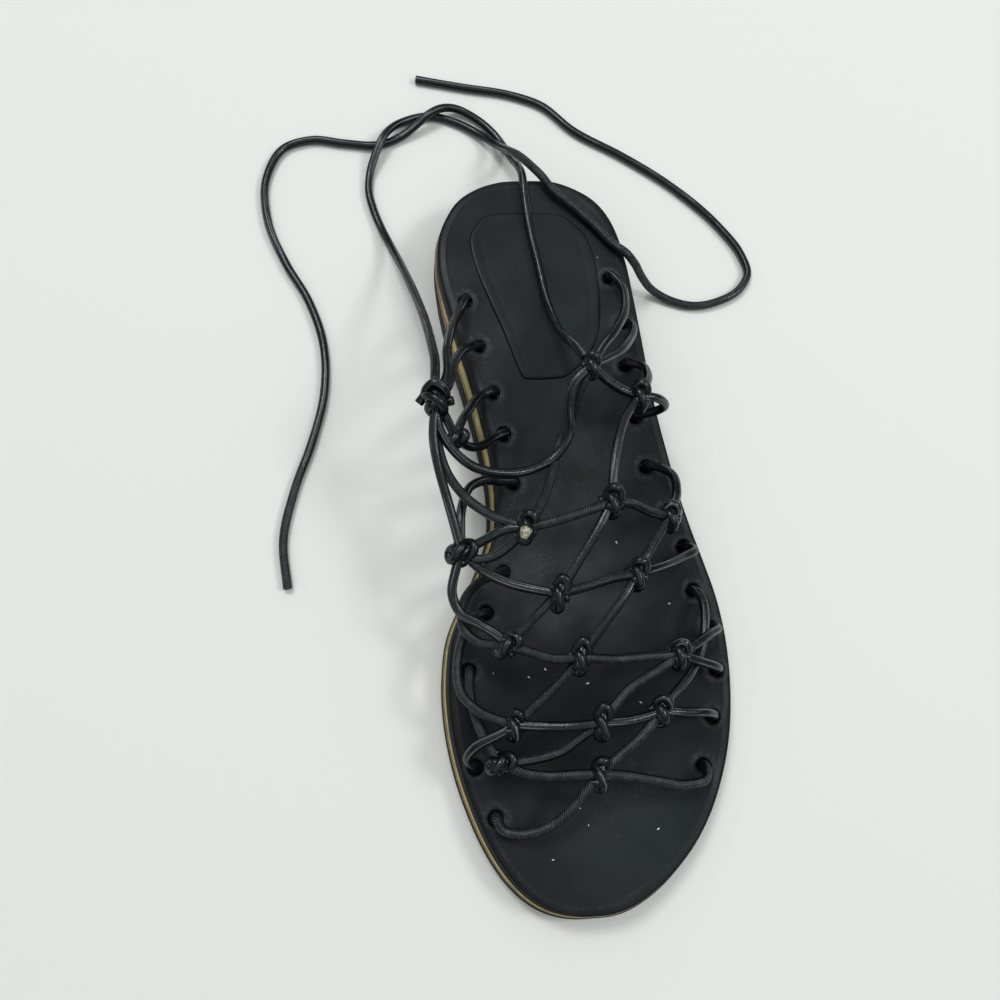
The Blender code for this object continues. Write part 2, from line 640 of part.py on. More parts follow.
def net_route(cord, places):
    """Points of one cord of the net, with its ends in holes kept upright."""
    start = end_points(cord.start, places)
    end = end_points(cord.end, places)[::-1]
    points = start + [net_point(*shares) for shares in cord.between] + end
    kept = (0, len(start) - 1, len(points) - len(end), len(points) - 1)
    return smooth_route(points, NET_POINT_SPACING, kept)


def smooth_route(points, spacing, kept):
    """Points of a smooth curve through the route's own points: the kept ones, and an even spacing between."""
    points = np.asarray(points, float)
    lengths = np.concatenate([[0.0], np.cumsum(np.linalg.norm(np.diff(points, axis=0), axis=1))])
    fine = np.linspace(0.0, lengths[-1], CURVE_SAMPLES)
    dense = np.stack([curve_through(lengths, points[:, axis], fine) for axis in range(3)], axis=1)
    travelled = np.concatenate([[0.0], np.cumsum(np.linalg.norm(np.diff(dense, axis=0), axis=1))])
    stops = np.interp(lengths[sorted(set(kept))], fine, travelled)
    stations = [stops[:1]]
    for begin, finish in zip(stops[:-1], stops[1:]):
        count = max(1, int(round((finish - begin) / spacing)))
        stations.append(np.linspace(begin, finish, count + 1)[1:])
    places = np.concatenate(stations)
    return np.stack([np.interp(places, travelled, dense[:, axis]) for axis in range(3)], axis=1)


def cord_curve(name, routes, sides):
    """A curve with a tube of the cord's diameter on each route, with an even number of sides."""
    curve = bpy.data.curves.new(name, "CURVE")
    curve.dimensions = "3D"
    curve.bevel_depth = CORD_DIAMETER / 2
    curve.bevel_resolution = sides // 2 - 2
    curve.use_fill_caps = True
    for route in routes:
        spline = curve.splines.new("POLY")
        spline.points.add(len(route) - 1)
        spline.points.foreach_set("co", np.column_stack([route, np.ones(len(route))]).ravel())
    return curve


def curve_to_mesh(name, curve, collection):
    """The curve's tubes as a mesh with their caps welded."""
    holder = bpy.data.objects.new(name, curve)
    collection.objects.link(holder)
    evaluated = holder.evaluated_get(bpy.context.evaluated_depsgraph_get())
    mesh = bpy.data.meshes.new_from_object(evaluated)
    bpy.data.objects.remove(holder, do_unlink=True)
    work = bmesh.new()
    work.from_mesh(mesh)
    bmesh.ops.remove_doubles(work, verts=work.verts, dist=0.00001)
    bmesh.ops.recalc_face_normals(work, faces=work.faces)
    work.to_mesh(mesh)
    work.free()
    mesh.name = name
    return mesh


def knots_mesh(name):
    """Every knot as an ellipsoid, long along its own turn."""
    work = bmesh.new()
    for key, knot in KNOTS.items():
        turn = Matrix.Rotation(-math.radians(knot.turn), 4, "Z")
        shape = turn @ Matrix.Diagonal((*knot_halves(knot), 1.0))
        place = Matrix.Translation(Vector(knot_centre(key))) @ shape
        bmesh.ops.create_uvsphere(work, u_segments=KNOT_SEGMENTS, v_segments=KNOT_RINGS, radius=1.0,
                                  matrix=place)
    mesh = bpy.data.meshes.new(name)
    work.to_mesh(mesh)
    work.free()
    return mesh


def punches_mesh(name):
    """One upright cylinder through the footbed at each cord hole."""
    radius = CORD_DIAMETER / 2 + HOLE_CLEARANCE
    work = bmesh.new()
    for x, y in hole_places().values():
        middle = surface_point(x, y, -FOOTBED_THICKNESS / 2)
        bmesh.ops.create_cone(work, cap_ends=True, segments=HOLE_SIDES, radius1=radius, radius2=radius,
                              depth=CUTTER_OVERRUN * FOOTBED_THICKNESS,
                              matrix=Matrix.Translation(Vector(middle)))
    mesh = bpy.data.meshes.new(name)
    work.to_mesh(mesh)
    work.free()
    return mesh


def build_footbed(collection, cutters):
    """The black footbed: rounded rim, dished top, cord holes and the heel pad's recess."""
    round_share = FOOTBED_EDGE_ROUND / FOOTBED_THICKNESS
    profile = ((FOOTBED_EDGE_ROUND, 0.0), (FOOTBED_EDGE_ROUND * ROUND_MIDDLE, round_share * ROUND_MIDDLE),
               (0.0, round_share), (0.0, 1.0))
    mesh = layer_mesh("footbed", sole_ring(0.0, 0.0), profile, footbed_surface,
                      lambda x, y: footbed_bottom(along_at(y)), DISH_COLUMNS)
    footbed = new_object("footbed", mesh, collection, new_material("footbed_leather", BLACK_LEATHER))
    punch = new_object("hole_punches", punches_mesh("hole_punches"), cutters)
    hide_cutter(punch)
    add_boolean(footbed, punch, "DIFFERENCE")
    depth = PAD_THICKNESS - PAD_PROUD + GAP
    recess_mesh = layer_mesh("pad_recess", pad_ring(GAP), ((0.0, 0.0), (0.0, 1.0)),
                             lambda x, y: footbed_surface(x, y) + CUTTER_OVERRUN * PAD_THICKNESS,
                             lambda x, y: footbed_surface(x, y) - depth, DISH_COLUMNS)
    recess = new_object("pad_recess", recess_mesh, cutters)
    hide_cutter(recess)
    add_boolean(footbed, recess, "DIFFERENCE")
    return footbed


def build_heel_pad(collection):
    """The thin leather pad let into the heel of the footbed."""
    round_share = PAD_EDGE_ROUND / PAD_THICKNESS
    profile = ((PAD_EDGE_ROUND, 0.0), (0.0, round_share), (0.0, 1.0))
    mesh = layer_mesh("heel_pad", pad_ring(0.0), profile,
                      lambda x, y: footbed_surface(x, y) + PAD_PROUD,
                      lambda x, y: footbed_surface(x, y) + PAD_PROUD - PAD_THICKNESS, DISH_COLUMNS)
    return new_object("heel_pad", mesh, collection, new_material("heel_pad_leather", BLACK_LEATHER))


def build_midsole(collection):
    """The tan midsole of two leather layers, with the groove between them round its side."""
    edge = MIDSOLE_EDGE_ROUND / MIDSOLE_THICKNESS
    groove = MIDSOLE_GROOVE / MIDSOLE_THICKNESS / 2
    profile = ((MIDSOLE_EDGE_ROUND, 0.0), (0.0, edge), (0.0, 0.5 - groove), (MIDSOLE_GROOVE, 0.5),
               (0.0, 0.5 + groove), (0.0, 1.0))
    mesh = layer_mesh("midsole", sole_ring(MIDSOLE_STEP, 0.0), profile,
                      lambda x, y: midsole_top(along_at(y)), lambda x, y: midsole_bottom(along_at(y)))
    return new_object("midsole", mesh, collection, new_material("midsole_leather", TAN_LEATHER))


def build_outsole(collection):
    """The black outsole, a little wider than the midsole, flat under the forefoot."""
    profile = ((0.0, 0.0), (0.0, 1.0 - OUTSOLE_CHAMFER / OUTSOLE_THICKNESS), (OUTSOLE_CHAMFER, 1.0))
    ring = sole_ring(MIDSOLE_STEP, OUTSOLE_STEP)
    mesh = layer_mesh("outsole", ring, profile,
                      lambda x, y: outsole_top(along_at(y)), lambda x, y: sole_underside(along_at(y)))
    return new_object("outsole", mesh, collection, new_material("outsole_rubber", SOLE_RUBBER))


def build_heel(collection):
    """The low stacked heel under the outsole, with a flat base on the floor."""
    last = HEEL_LENGTH / FOOTBED_LENGTH
    ring = sole_ring(MIDSOLE_STEP, 0.0, last, OUTLINE_STATIONS // 2)
    seam = HEEL_SEAM / HEEL_HEIGHT
    middle = HEEL_TAPER / 2
    profile = ((0.0, 0.0), (middle, 0.5 - seam), (middle + HEEL_SEAM, 0.5), (middle, 0.5 + seam),
               (HEEL_TAPER, 1.0 - HEEL_CHAMFER / HEEL_HEIGHT), (HEEL_TAPER + HEEL_CHAMFER, 1.0))
    mesh = layer_mesh("heel", ring, profile,
                      lambda x, y: sole_underside(along_at(y)) - GAP, lambda x, y: np.zeros_like(x))
    return new_object("heel", mesh, collection, new_material("heel_rubber", SOLE_RUBBER))


def build_cord_upper(collection, cutters):
    """The net: every cord and knot joined into one solid, with its ends standing in the footbed's holes."""
    places = hole_places()
    routes = [net_route(cord, places) for cord in CORDS]
    tubes = curve_to_mesh("cord_upper", cord_curve("cord_upper", routes, NET_SIDES), cutters)
    upper = new_object("cord_upper", tubes, collection, new_material("cord_leather", CORD_LEATHER))
    knots = new_object("net_knots", knots_mesh("net_knots"), cutters)
    hide_cutter(knots)
    add_boolean(upper, knots, "UNION")
    upper.modifiers["net_knots"].use_self = True
    return upper


def tie_route(knot_name, route):
    """A tie's points, from just off the knot that it leaves."""
    rim = float(footbed_rim(0.0))
    low = CORD_DIAMETER / 2 + FLOOR_GAP
    points = [np.array([across * BALL_WIDTH, y_at(along), low + lift * rim + over * CORD_DIAMETER])
              for along, across, lift, over in route]
    centre = knot_centre(knot_name)
    away = Vector(points[0] - centre).normalized()
    knot = KNOTS[knot_name]
    within = Matrix.Rotation(math.radians(knot.turn), 3, "Z") @ away
    reach = 1.0 / np.linalg.norm(np.array(within) / knot_halves(knot))
    points[0] = centre + np.array(away) * (reach + TIE_START_GAP)
    return smooth_route(np.array(points), TIE_POINT_SPACING, (0, len(points) - 1))


def build_tie(name, knot_name, route, collection):
    """A free tie: a plain round cord lying over the heel and on the floor."""
    curve = cord_curve(name, [tie_route(knot_name, route)], TIE_SIDES)
    tie = bpy.data.objects.new(name, curve)
    collection.objects.link(tie)
    curve.materials.append(new_material(name + "_leather", CORD_LEATHER))
    return tie


def main():
    """Builds the sandal."""
    clear_scene()
    parts = new_collection("gladiator_sandal")
    cutters = new_collection("cutters")
    build_footbed(parts, cutters)
    build_heel_pad(parts)
    build_midsole(parts)
    build_outsole(parts)
    build_heel(parts)
    build_cord_upper(parts, cutters)
    build_tie("tie_lateral", TIE_LATERAL_KNOT, TIE_LATERAL_ROUTE, parts)
    build_tie("tie_medial", TIE_MEDIAL_KNOT, TIE_MEDIAL_ROUTE, parts)


main()
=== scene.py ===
"""Dressed model of a left gladiator sandal: a leather sole, a net of knotted round cord and two free ties.

Everything is in metres in the frame of the solids: the toe points to -Y, the heel to +Y, the outer
(lateral) side to +X, and the floor is z = 0.
"""

from __future__ import annotations

import logging
import math
from collections.abc import Callable
from dataclasses import dataclass, field
from enum import Enum
from functools import partial

import bmesh
import bpy
import numpy as np
from mathutils import Matrix, Vector

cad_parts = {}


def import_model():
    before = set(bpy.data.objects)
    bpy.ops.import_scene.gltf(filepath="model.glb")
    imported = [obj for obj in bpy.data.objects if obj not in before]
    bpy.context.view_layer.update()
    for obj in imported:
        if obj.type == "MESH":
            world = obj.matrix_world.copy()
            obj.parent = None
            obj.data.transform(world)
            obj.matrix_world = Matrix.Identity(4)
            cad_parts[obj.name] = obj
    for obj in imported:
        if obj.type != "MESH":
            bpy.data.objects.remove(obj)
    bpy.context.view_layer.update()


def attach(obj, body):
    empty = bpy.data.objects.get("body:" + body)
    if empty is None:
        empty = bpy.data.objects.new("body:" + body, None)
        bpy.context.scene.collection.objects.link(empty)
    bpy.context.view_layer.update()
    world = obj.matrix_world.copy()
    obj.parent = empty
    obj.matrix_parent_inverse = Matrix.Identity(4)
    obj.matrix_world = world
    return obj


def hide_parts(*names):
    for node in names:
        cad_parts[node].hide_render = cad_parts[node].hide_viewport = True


LOG = logging.getLogger("sandal")
Array = np.ndarray
Material, Mesh, Piece = bpy.types.Material, bpy.types.Mesh, bpy.types.Object
Node, Socket, Tree = bpy.types.Node, bpy.types.NodeSocket, bpy.types.NodeTree
Pair = tuple[float, float]
Triple = tuple[float, float, float]
Rows = tuple[tuple[float, ...], ...]
Height = Callable[[Array, Array], Array]

# Tables, all as shares

# The footbed's edges: along the length from the heel's back, medial and lateral by ball width
FOOTBED_OUTLINE = (
    (0.000, -0.046, -0.014), (0.012, -0.214, 0.130), (0.033, -0.302, 0.216), (0.060, -0.352, 0.268),
    (0.094, -0.386, 0.302), (0.135, -0.394, 0.322), (0.200, -0.366, 0.340), (0.250, -0.334, 0.352),
    (0.300, -0.297, 0.366), (0.360, -0.258, 0.388), (0.420, -0.228, 0.420), (0.470, -0.218, 0.448),
    (0.520, -0.230, 0.484), (0.570, -0.286, 0.523), (0.610, -0.345, 0.550), (0.650, -0.395, 0.566),
    (0.700, -0.419, 0.571), (0.760, -0.419, 0.560), (0.820, -0.394, 0.526), (0.870, -0.355, 0.473),
    (0.915, -0.306, 0.401), (0.955, -0.240, 0.298), (0.985, -0.150, 0.182), (1.000, 0.004, 0.036),
)

# The heel pad's edges, along its own length, and where its length lies on the footbed
PAD_SPAN = (0.056, 0.309)
PAD_OUTLINE = (
    (0.00, -0.170, 0.060), (0.05, -0.232, 0.122), (0.15, -0.268, 0.176), (0.35, -0.252, 0.206),
    (0.55, -0.208, 0.208), (0.75, -0.160, 0.190), (0.90, -0.128, 0.134), (0.97, -0.110, 0.080),
    (1.00, -0.090, 0.030),
)

# How much of its step each lower layer stands out: along, midsole medial, outsole medial, both lateral
STEPS = (
    (0.00, 0.20, 0.10, 0.20), (0.12, 0.22, 0.10, 0.22), (0.20, 0.70, 0.60, 0.26), (0.28, 1.00, 1.00, 0.28),
    (0.37, 0.95, 0.95, 0.28), (0.46, 0.80, 0.75, 0.28), (0.58, 0.64, 0.40, 0.28), (0.68, 0.62, 0.26, 0.28),
    (0.85, 0.62, 0.26, 0.28), (0.95, 0.56, 0.26, 0.28), (1.00, 0.50, 0.26, 0.30),
)

# The footbed's cord holes: +1 for the lateral side or -1 for the medial one, along, inset by ball width
HOLES: dict[str, Triple] = {
    "lat01": (1, 0.161, 0.081), "lat02": (1, 0.230, 0.062), "lat03": (1, 0.293, 0.082),
    "lat04": (1, 0.367, 0.087), "lat05": (1, 0.436, 0.096), "lat06": (1, 0.497, 0.066),
    "lat07": (1, 0.548, 0.058), "lat08": (1, 0.607, 0.079), "lat09": (1, 0.657, 0.053),
    "lat10": (1, 0.714, 0.051), "lat11": (1, 0.773, 0.069), "lat12": (1, 0.833, 0.080),
    "med01": (-1, 0.193, 0.074), "med02": (-1, 0.261, 0.070), "med03": (-1, 0.328, 0.064),
    "med04": (-1, 0.386, 0.062), "med05": (-1, 0.453, 0.064), "med06": (-1, 0.571, 0.080),
    "med07": (-1, 0.624, 0.088), "med08": (-1, 0.698, 0.070), "med09": (-1, 0.818, 0.053),
    "med10": (-1, 0.879, 0.062),
}


class CordLook(Enum):
    """How the whip-stitched seam shows on a run of cord."""

    SMOOTH = 0.0
    DOTTED = 0.45
    RIBBED = 1.0


@dataclass(frozen=True)
class Knot:
    """A knot of the net.

    along is a share of the length, across of the ball width and rise of the net's rise. turn is the
    long axis in degrees from the heel-to-toe line. length and width are shares of a knot, and wear is
    how much of the cord's black is rubbed away, from 0 to 1.
    """

    along: float
    across: float
    rise: float
    turn: float
    length: float
    width: float
    wear: float = 0.0


@dataclass(frozen=True)
class Run:
    """A run of cord: its two ends, the points between, its look and where its seam faces.

    between has along, across and rise of each point in turn, in thousandths of their shares. seam is
    in turns about the cord from straight up.
    """

    start: str
    end: str
    between: tuple[int, ...]
    look: CordLook = CordLook.SMOOTH
    seam: float = 0.0


KNOTS: dict[str, Knot] = {
    "ankle_lateral": Knot(0.338, 0.093, 0.93, 10, 0.85, 0.85),
    "ankle_edge": Knot(0.370, 0.266, 0.73, 15, 1.00, 0.95),
    "ankle_medial": Knot(0.383, -0.435, 1.07, 0, 1.05, 1.25),
    "ankle_small": Knot(0.424, -0.372, 0.87, 70, 0.80, 0.80),
    "instep_middle": Knot(0.512, 0.128, 1.00, 15, 1.00, 1.00, 0.10),
    "instep_edge": Knot(0.524, 0.348, 0.67, 10, 0.95, 0.95, 0.15),
    "instep_worn": Knot(0.540, -0.158, 1.00, 20, 1.00, 0.95, 1.00),
    "instep_medial": Knot(0.562, -0.370, 0.80, 75, 1.00, 1.05),
    "ball_upper": Knot(0.620, -0.063, 0.90, 20, 1.10, 0.90, 0.12),
    "ball_lateral": Knot(0.599, 0.206, 0.83, 15, 1.05, 0.95, 0.12),
    "ball_medial": Knot(0.676, -0.232, 0.67, 60, 0.95, 0.95, 0.20),
    "ball_middle": Knot(0.696, 0.000, 0.73, 15, 1.15, 0.90, 0.12),
    "ball_edge": Knot(0.697, 0.342, 0.57, 20, 0.95, 0.95, 0.20),
    "toe_medial": Knot(0.771, -0.220, 0.50, 15, 0.95, 0.90, 0.15),
    "toe_middle": Knot(0.775, 0.060, 0.60, 10, 1.10, 0.90, 0.20),
    "toe_edge": Knot(0.764, 0.268, 0.50, 15, 0.95, 0.95, 0.20),
    "toe_low": Knot(0.814, -0.269, 0.40, 75, 0.95, 0.95, 0.20),
    "toe_front": Knot(0.834, 0.048, 0.47, 10, 1.10, 0.90, 0.15),
}

DOTTED, RIBBED = CordLook.DOTTED, CordLook.RIBBED
RUNS: tuple[Run, ...] = (
    Run("lat01", "ankle_lateral", (176, 272, 130, 225, 270, 370, 280, 200, 670, 315, 130, 850)),
    Run("lat02", "ankle_lateral", (243, 302, 170, 280, 268, 430, 315, 185, 700)),
    Run("ankle_lateral", "ankle_edge", (353, 150, 830, 363, 210, 750)),
    Run("lat03", "ankle_edge", (300, 322, 140, 327, 328, 400, 352, 296, 630)),
    Run("ankle_edge", "lat04", (370, 330, 670, 371, 378, 430, 369, 332, 160)),
    Run("ankle_edge", "instep_middle", (398, 208, 830, 445, 158, 950, 485, 136, 1000)),
    Run("ankle_lateral", "ankle_medial", (357, 34, 920, 385, 16, 780, 412, 22, 630, 439, -30, 570,
        456, -120, 600, 462, -225, 700, 456, -325, 830, 436, -393, 950, 412, -430, 1030)),
    Run("ankle_lateral", "instep_worn", (360, 66, 850, 385, 40, 630, 412, -2, 470, 460, -44, 600,
        508, -100, 850), DOTTED, 0.05),
    Run("med01", "ankle_medial", (215, -318, 190, 258, -360, 470, 306, -388, 760, 350, -396, 980)),
    Run("med02", "ankle_medial", (270, -288, 160, 288, -330, 380, 318, -366, 600, 355, -388, 840)),
    Run("med03", "ankle_small", (338, -262, 150, 372, -318, 470, 405, -358, 770)),
    Run("med04", "ankle_small", (395, -222, 150, 414, -270, 380, 426, -328, 670)),
    Run("ankle_small", "ankle_medial", (402, -405, 1000)),
    Run("ankle_medial", "instep_medial", (428, -447, 1040, 464, -434, 1000, 499, -410, 930,
        532, -388, 870)),
    Run("ankle_medial", "instep_worn", (435, -432, 930, 464, -408, 880, 494, -355, 870,
        519, -280, 920), DOTTED, 0.0),
    Run("med05", "instep_medial", (455, -205, 150, 460, -272, 370, 477, -332, 580, 505, -360, 720)),
    Run("instep_worn", "instep_medial", (540, -225, 950, 550, -292, 880)),
    Run("instep_worn", "instep_medial", (558, -212, 900, 570, -268, 840, 572, -318, 820), DOTTED, 0.0),
    Run("instep_worn", "instep_middle", (536, -82, 1030, 525, 30, 1040), RIBBED, 0.06),
    Run("instep_middle", "instep_edge", (514, 193, 950, 522, 270, 820), DOTTED, -0.14),
    Run("instep_middle", "ball_upper", (548, 70, 1000, 583, 6, 960)),
    Run("lat05", "instep_edge", (441, 360, 140, 458, 398, 320, 487, 392, 520)),
    Run("instep_edge", "lat06", (514, 394, 460, 503, 412, 230)),
    Run("instep_edge", "ball_lateral", (552, 290, 760, 578, 240, 830), DOTTED, 0.12),
    Run("ball_lateral", "lat07", (588, 295, 670, 571, 400, 400, 556, 468, 200)),
    Run("ball_lateral", "ball_upper", (604, 120, 870, 613, 30, 900), DOTTED, 0.10),
    Run("ball_lateral", "ball_middle", (633, 140, 850, 664, 68, 800), DOTTED, 0.15),
    Run("ball_upper", "instep_medial", (613, -134, 840, 601, -228, 780, 586, -300, 770)),
    Run("ball_upper", "ball_medial", (640, -126, 830, 658, -178, 740), DOTTED, -0.1),
    Run("instep_medial", "ball_medial", (586, -392, 760, 611, -404, 700, 634, -378, 640, 648, -320, 630,
        662, -268, 660)),
    Run("med06", "ball_medial", (577, -238, 160, 594, -318, 360, 622, -368, 460, 651, -368, 500,
        669, -325, 560), DOTTED, 0.1),
    Run("med07", "toe_medial", (631, -322, 140, 663, -372, 300, 698, -394, 370, 731, -382, 420,
        752, -330, 460), DOTTED, 0.05),
    Run("ball_medial", "ball_middle", (686, -162, 680, 696, -82, 710), DOTTED, 0.0),
    Run("ball_middle", "ball_edge", (700, 114, 710, 698, 230, 640), RIBBED, 0.17),
    Run("ball_middle", "toe_medial", (717, -52, 660, 742, -127, 580), DOTTED, -0.1),
    Run("ball_edge", "lat09", (686, 402, 500, 670, 480, 330, 661, 524, 170)),
    Run("ball_edge", "lat10", (705, 420, 430, 712, 496, 260)),
    Run("ball_edge", "toe_middle", (713, 272, 580, 735, 165, 610), RIBBED, -0.15),
    Run("lat08", "toe_edge", (620, 482, 140, 655, 474, 250, 695, 438, 290, 720, 392, 360, 744, 322, 450)),
    Run("toe_medial", "toe_middle", (774, -134, 540, 776, -40, 600)),
    Run("toe_medial", "med09", (782, -282, 460, 794, -348, 360, 808, -372, 200)),
    Run("med08", "toe_low", (718, -352, 140, 748, -345, 240, 775, -325, 320, 800, -292, 370), DOTTED, 0.0),
    Run("toe_middle", "toe_edge", (774, 140, 580, 770, 208, 540)),
    Run("toe_middle", "toe_low", (788, 0, 540, 804, -66, 470, 812, -154, 430,
        814, -214, 410), RIBBED, 0.14),
    Run("toe_edge", "lat11", (767, 349, 440, 769, 450, 280)),
    Run("toe_edge", "toe_front", (788, 208, 500, 817, 106, 480), RIBBED, -0.12),
    Run("toe_low", "toe_front", (827, -198, 410, 833, -104, 440, 833, -22, 470), RIBBED, 0.1),
    Run("toe_front", "lat12", (838, 131, 410, 847, 246, 310, 854, 342, 230, 848, 425, 160), RIBBED, 0.12),
    Run("toe_front", "med10", (853, 2, 410, 876, -55, 310, 893, -126, 230, 899, -209, 180,
        893, -268, 140), RIBBED, 0.05),
)

# The turns of cord round a knot, seen from above with the heel upwards: across, along and out, as
# shares of the room between the middle of the knot and its skin
WRAP = (
    (-1.70, -0.12, -0.35), (-1.05, 0.20, -0.25), (-0.85, 0.72, 0.30), (-0.10, 1.02, 0.85),
    (0.75, 0.80, 0.60), (1.02, 0.30, -0.15), (0.45, 0.00, -1.00), (-0.55, 0.02, -0.80),
    (-0.98, 0.20, 0.10), (-0.50, 0.22, 0.95), (0.15, -0.22, 1.15), (0.68, -0.66, 0.70),
    (0.45, -1.00, -0.30), (-0.35, -0.90, -0.55), (-0.72, -0.52, 0.15), (-0.20, -0.40, 0.75),
    (0.55, -0.28, 0.10), (1.00, -0.15, -0.45), (1.70, -0.10, -0.35),
)

# The free ties after the knot that each leaves: along, across, lift by the heel seat's rim, and over
# in cord diameters, the last two 0 where they are left out. The first row only gives the way in which
# the tie leaves its knot.
TIE_LATERAL_ROUTE = (
    (0.305, 0.055, 2.08), (0.305, 0.052, 2.07), (0.270, 0.024, 1.6), (0.230, 0.010, 1.2),
    (0.190, -0.004, 1.02), (0.150, -0.017, 0.998), (0.089, -0.041, 0.998), (0.035, -0.052, 1.005),
    (0.003, -0.055, 1.01), (-0.030, -0.058, 0.71), (-0.068, -0.070, 0.26), (-0.100, -0.092, 0.03),
    (-0.128, -0.135), (-0.154, -0.206, 0.01), (-0.167, -0.290, 0.0, 0.5), (-0.161, -0.345, 0.0, 1.13),
    (-0.150, -0.395, 0.0, 1.25), (-0.136, -0.445, 0.0, 0.69), (-0.120, -0.510, 0.0, 0.06), (-0.106, -0.600),
    (-0.108, -0.740), (-0.114, -0.870), (-0.100, -0.980), (-0.050, -1.050), (0.025, -1.045),
    (0.095, -0.975), (0.155, -0.890), (0.225, -0.835), (0.300, -0.835), (0.370, -0.880), (0.440, -0.945),
    (0.510, -0.985), (0.575, -0.970),
)
TIE_MEDIAL_ROUTE = (
    (0.356, -0.436, 2.49), (0.329, -0.432, 2.33), (0.303, -0.438, 2.12), (0.275, -0.446, 1.88),
    (0.243, -0.458, 1.59), (0.205, -0.477, 1.24), (0.164, -0.501, 0.87), (0.122, -0.529, 0.5),
    (0.079, -0.565, 0.19), (0.040, -0.602, 0.03), (0.006, -0.632), (-0.024, -0.648),
    (-0.054, -0.642, 0.0, 0.13), (-0.086, -0.612, 0.0, 0.94), (-0.107, -0.586, 0.0, 1.32),
    (-0.126, -0.555, 0.0, 0.88), (-0.148, -0.490, 0.0, 0.06), (-0.157, -0.396), (-0.145, -0.280),
    (-0.120, -0.182, 0.05), (-0.088, -0.118, 0.08, 1.25), (-0.066, -0.088, 0.28, 1.75),
    (-0.040, -0.054, 0.59, 1.69), (-0.014, -0.014, 0.83, 1.19), (0.004, 0.018, 0.96, 0.69),
    (0.022, 0.052, 1.0, 0.25), (0.046, 0.120, 1.01), (0.076, 0.197, 1.005), (0.113, 0.277, 1.01),
    (0.126, 0.318, 1.02), (0.135, 0.360, 0.81), (0.142, 0.402, 0.46), (0.150, 0.460, 0.11),
    (0.163, 0.531, 0.01), (0.172, 0.620), (0.165, 0.735), (0.146, 0.825), (0.120, 0.868), (0.088, 0.852),
    (0.041, 0.778), (-0.030, 0.600), (-0.086, 0.400), (-0.132, 0.204), (-0.178, 0.076), (-0.197, -0.052),
    (-0.209, -0.232), (-0.224, -0.440),
)

# Rubbed places on the footbed, partly scuffed leather and partly painted sheen where the surface catches the
# light: along, across, reach as a share of the ball width, and how much
RUBBED_AND_SHEEN = (
    (0.585, -0.235, 0.075, 0.85), (0.640, -0.330, 0.060, 0.75), (0.560, -0.060, 0.085, 0.60),
    (0.600, 0.040, 0.060, 0.35), (0.490, -0.165, 0.045, 0.40), (0.905, 0.160, 0.180, 0.22),
    (0.300, -0.240, 0.060, 0.20), (0.440, 0.160, 0.120, 0.18),
)

# Soft lighter clouds on the footbed, partly worn leather and partly painted sheen in place of reflected
# light: along, across, half length and half width as shares, and how much
WEAR_AND_SHEEN = (
    (0.590, -0.020, 0.075, 0.260, 1.00), (0.510, -0.020, 0.090, 0.240, 0.60),
    (0.420, 0.100, 0.080, 0.200, 0.36), (0.690, 0.180, 0.050, 0.200, 0.15),
    (0.700, -0.330, 0.060, 0.080, 0.20), (0.910, 0.040, 0.075, 0.330, 0.21),
    (0.240, -0.020, 0.240, 0.450, 0.28),
)

# Specks of lint on the footbed: along, across
LINT = (
    (0.251, -0.124), (0.175, 0.132), (0.207, 0.094), (0.128, 0.213), (0.537, 0.206), (0.578, 0.213),
    (0.623, 0.378), (0.703, -0.265), (0.710, -0.143), (0.701, -0.084), (0.722, 0.061), (0.750, 0.241),
    (0.875, -0.002), (0.896, 0.022), (0.906, 0.255), (0.933, -0.106),
)


# Curves and surfaces

def smooth_step(value: Array) -> Array:
    """0 to 1 with level ends: 3t^2 - 2t^3 of the clipped value."""
    value = np.clip(value, 0.0, 1.0)
    return value * value * (3.0 - 2.0 * value)


def bell(away: Array, width: float) -> Array:
    """A bell curve: exp(-(away / width)^2)."""
    return np.exp(-((away / width) ** 2))


def travel(points: Array) -> Array:
    """The distance along a line of points to each of them."""
    return np.concatenate([[0.0], np.cumsum(np.linalg.norm(np.diff(points, axis=0), axis=1))])


def nearest(x: Array, y: Array, places: Array) -> Array:
    """The distance in plan from each point to the nearest of some places."""
    return np.sqrt((x[..., None] - places[:, 0]) ** 2 + (y[..., None] - places[:, 1]) ** 2).min(axis=-1)


def curve_through(known: Array, values: Array, wanted: Array) -> Array:
    """Cubic through known points, with each slope taken from its two neighbours.

    Args:
        known: Rising parameters of the points.
        values: The value at each of them.
        wanted: The parameters to read the curve at.

    Returns:
        The curve's values, one for each wanted parameter.
    """
    slopes = np.gradient(values, known)
    index = np.clip(np.searchsorted(known, wanted) - 1, 0, len(known) - 2)
    width = known[index + 1] - known[index]
    t = (wanted - known[index]) / width
    return ((2 * t**3 - 3 * t**2 + 1) * values[index] + (t**3 - 2 * t**2 + t) * width * slopes[index]
            + (3 * t**2 - 2 * t**3) * values[index + 1] + (t**3 - t**2) * width * slopes[index + 1])


def end_parameter(share: Array) -> Array:
    """arccos(1 - 2 share) / pi: equal steps of it are short steps of the share at both round ends."""
    return np.arccos(1.0 - 2.0 * np.clip(share, 0.0, 1.0)) / math.pi


def station_shares(stations: int, last: float = 1.0) -> Array:
    """Shares from 0 to the last one, close together at the round ends: the reverse of end_parameter."""
    return 0.5 - 0.5 * np.cos(math.pi * np.linspace(0.0, float(end_parameter(np.float64(last))), stations))


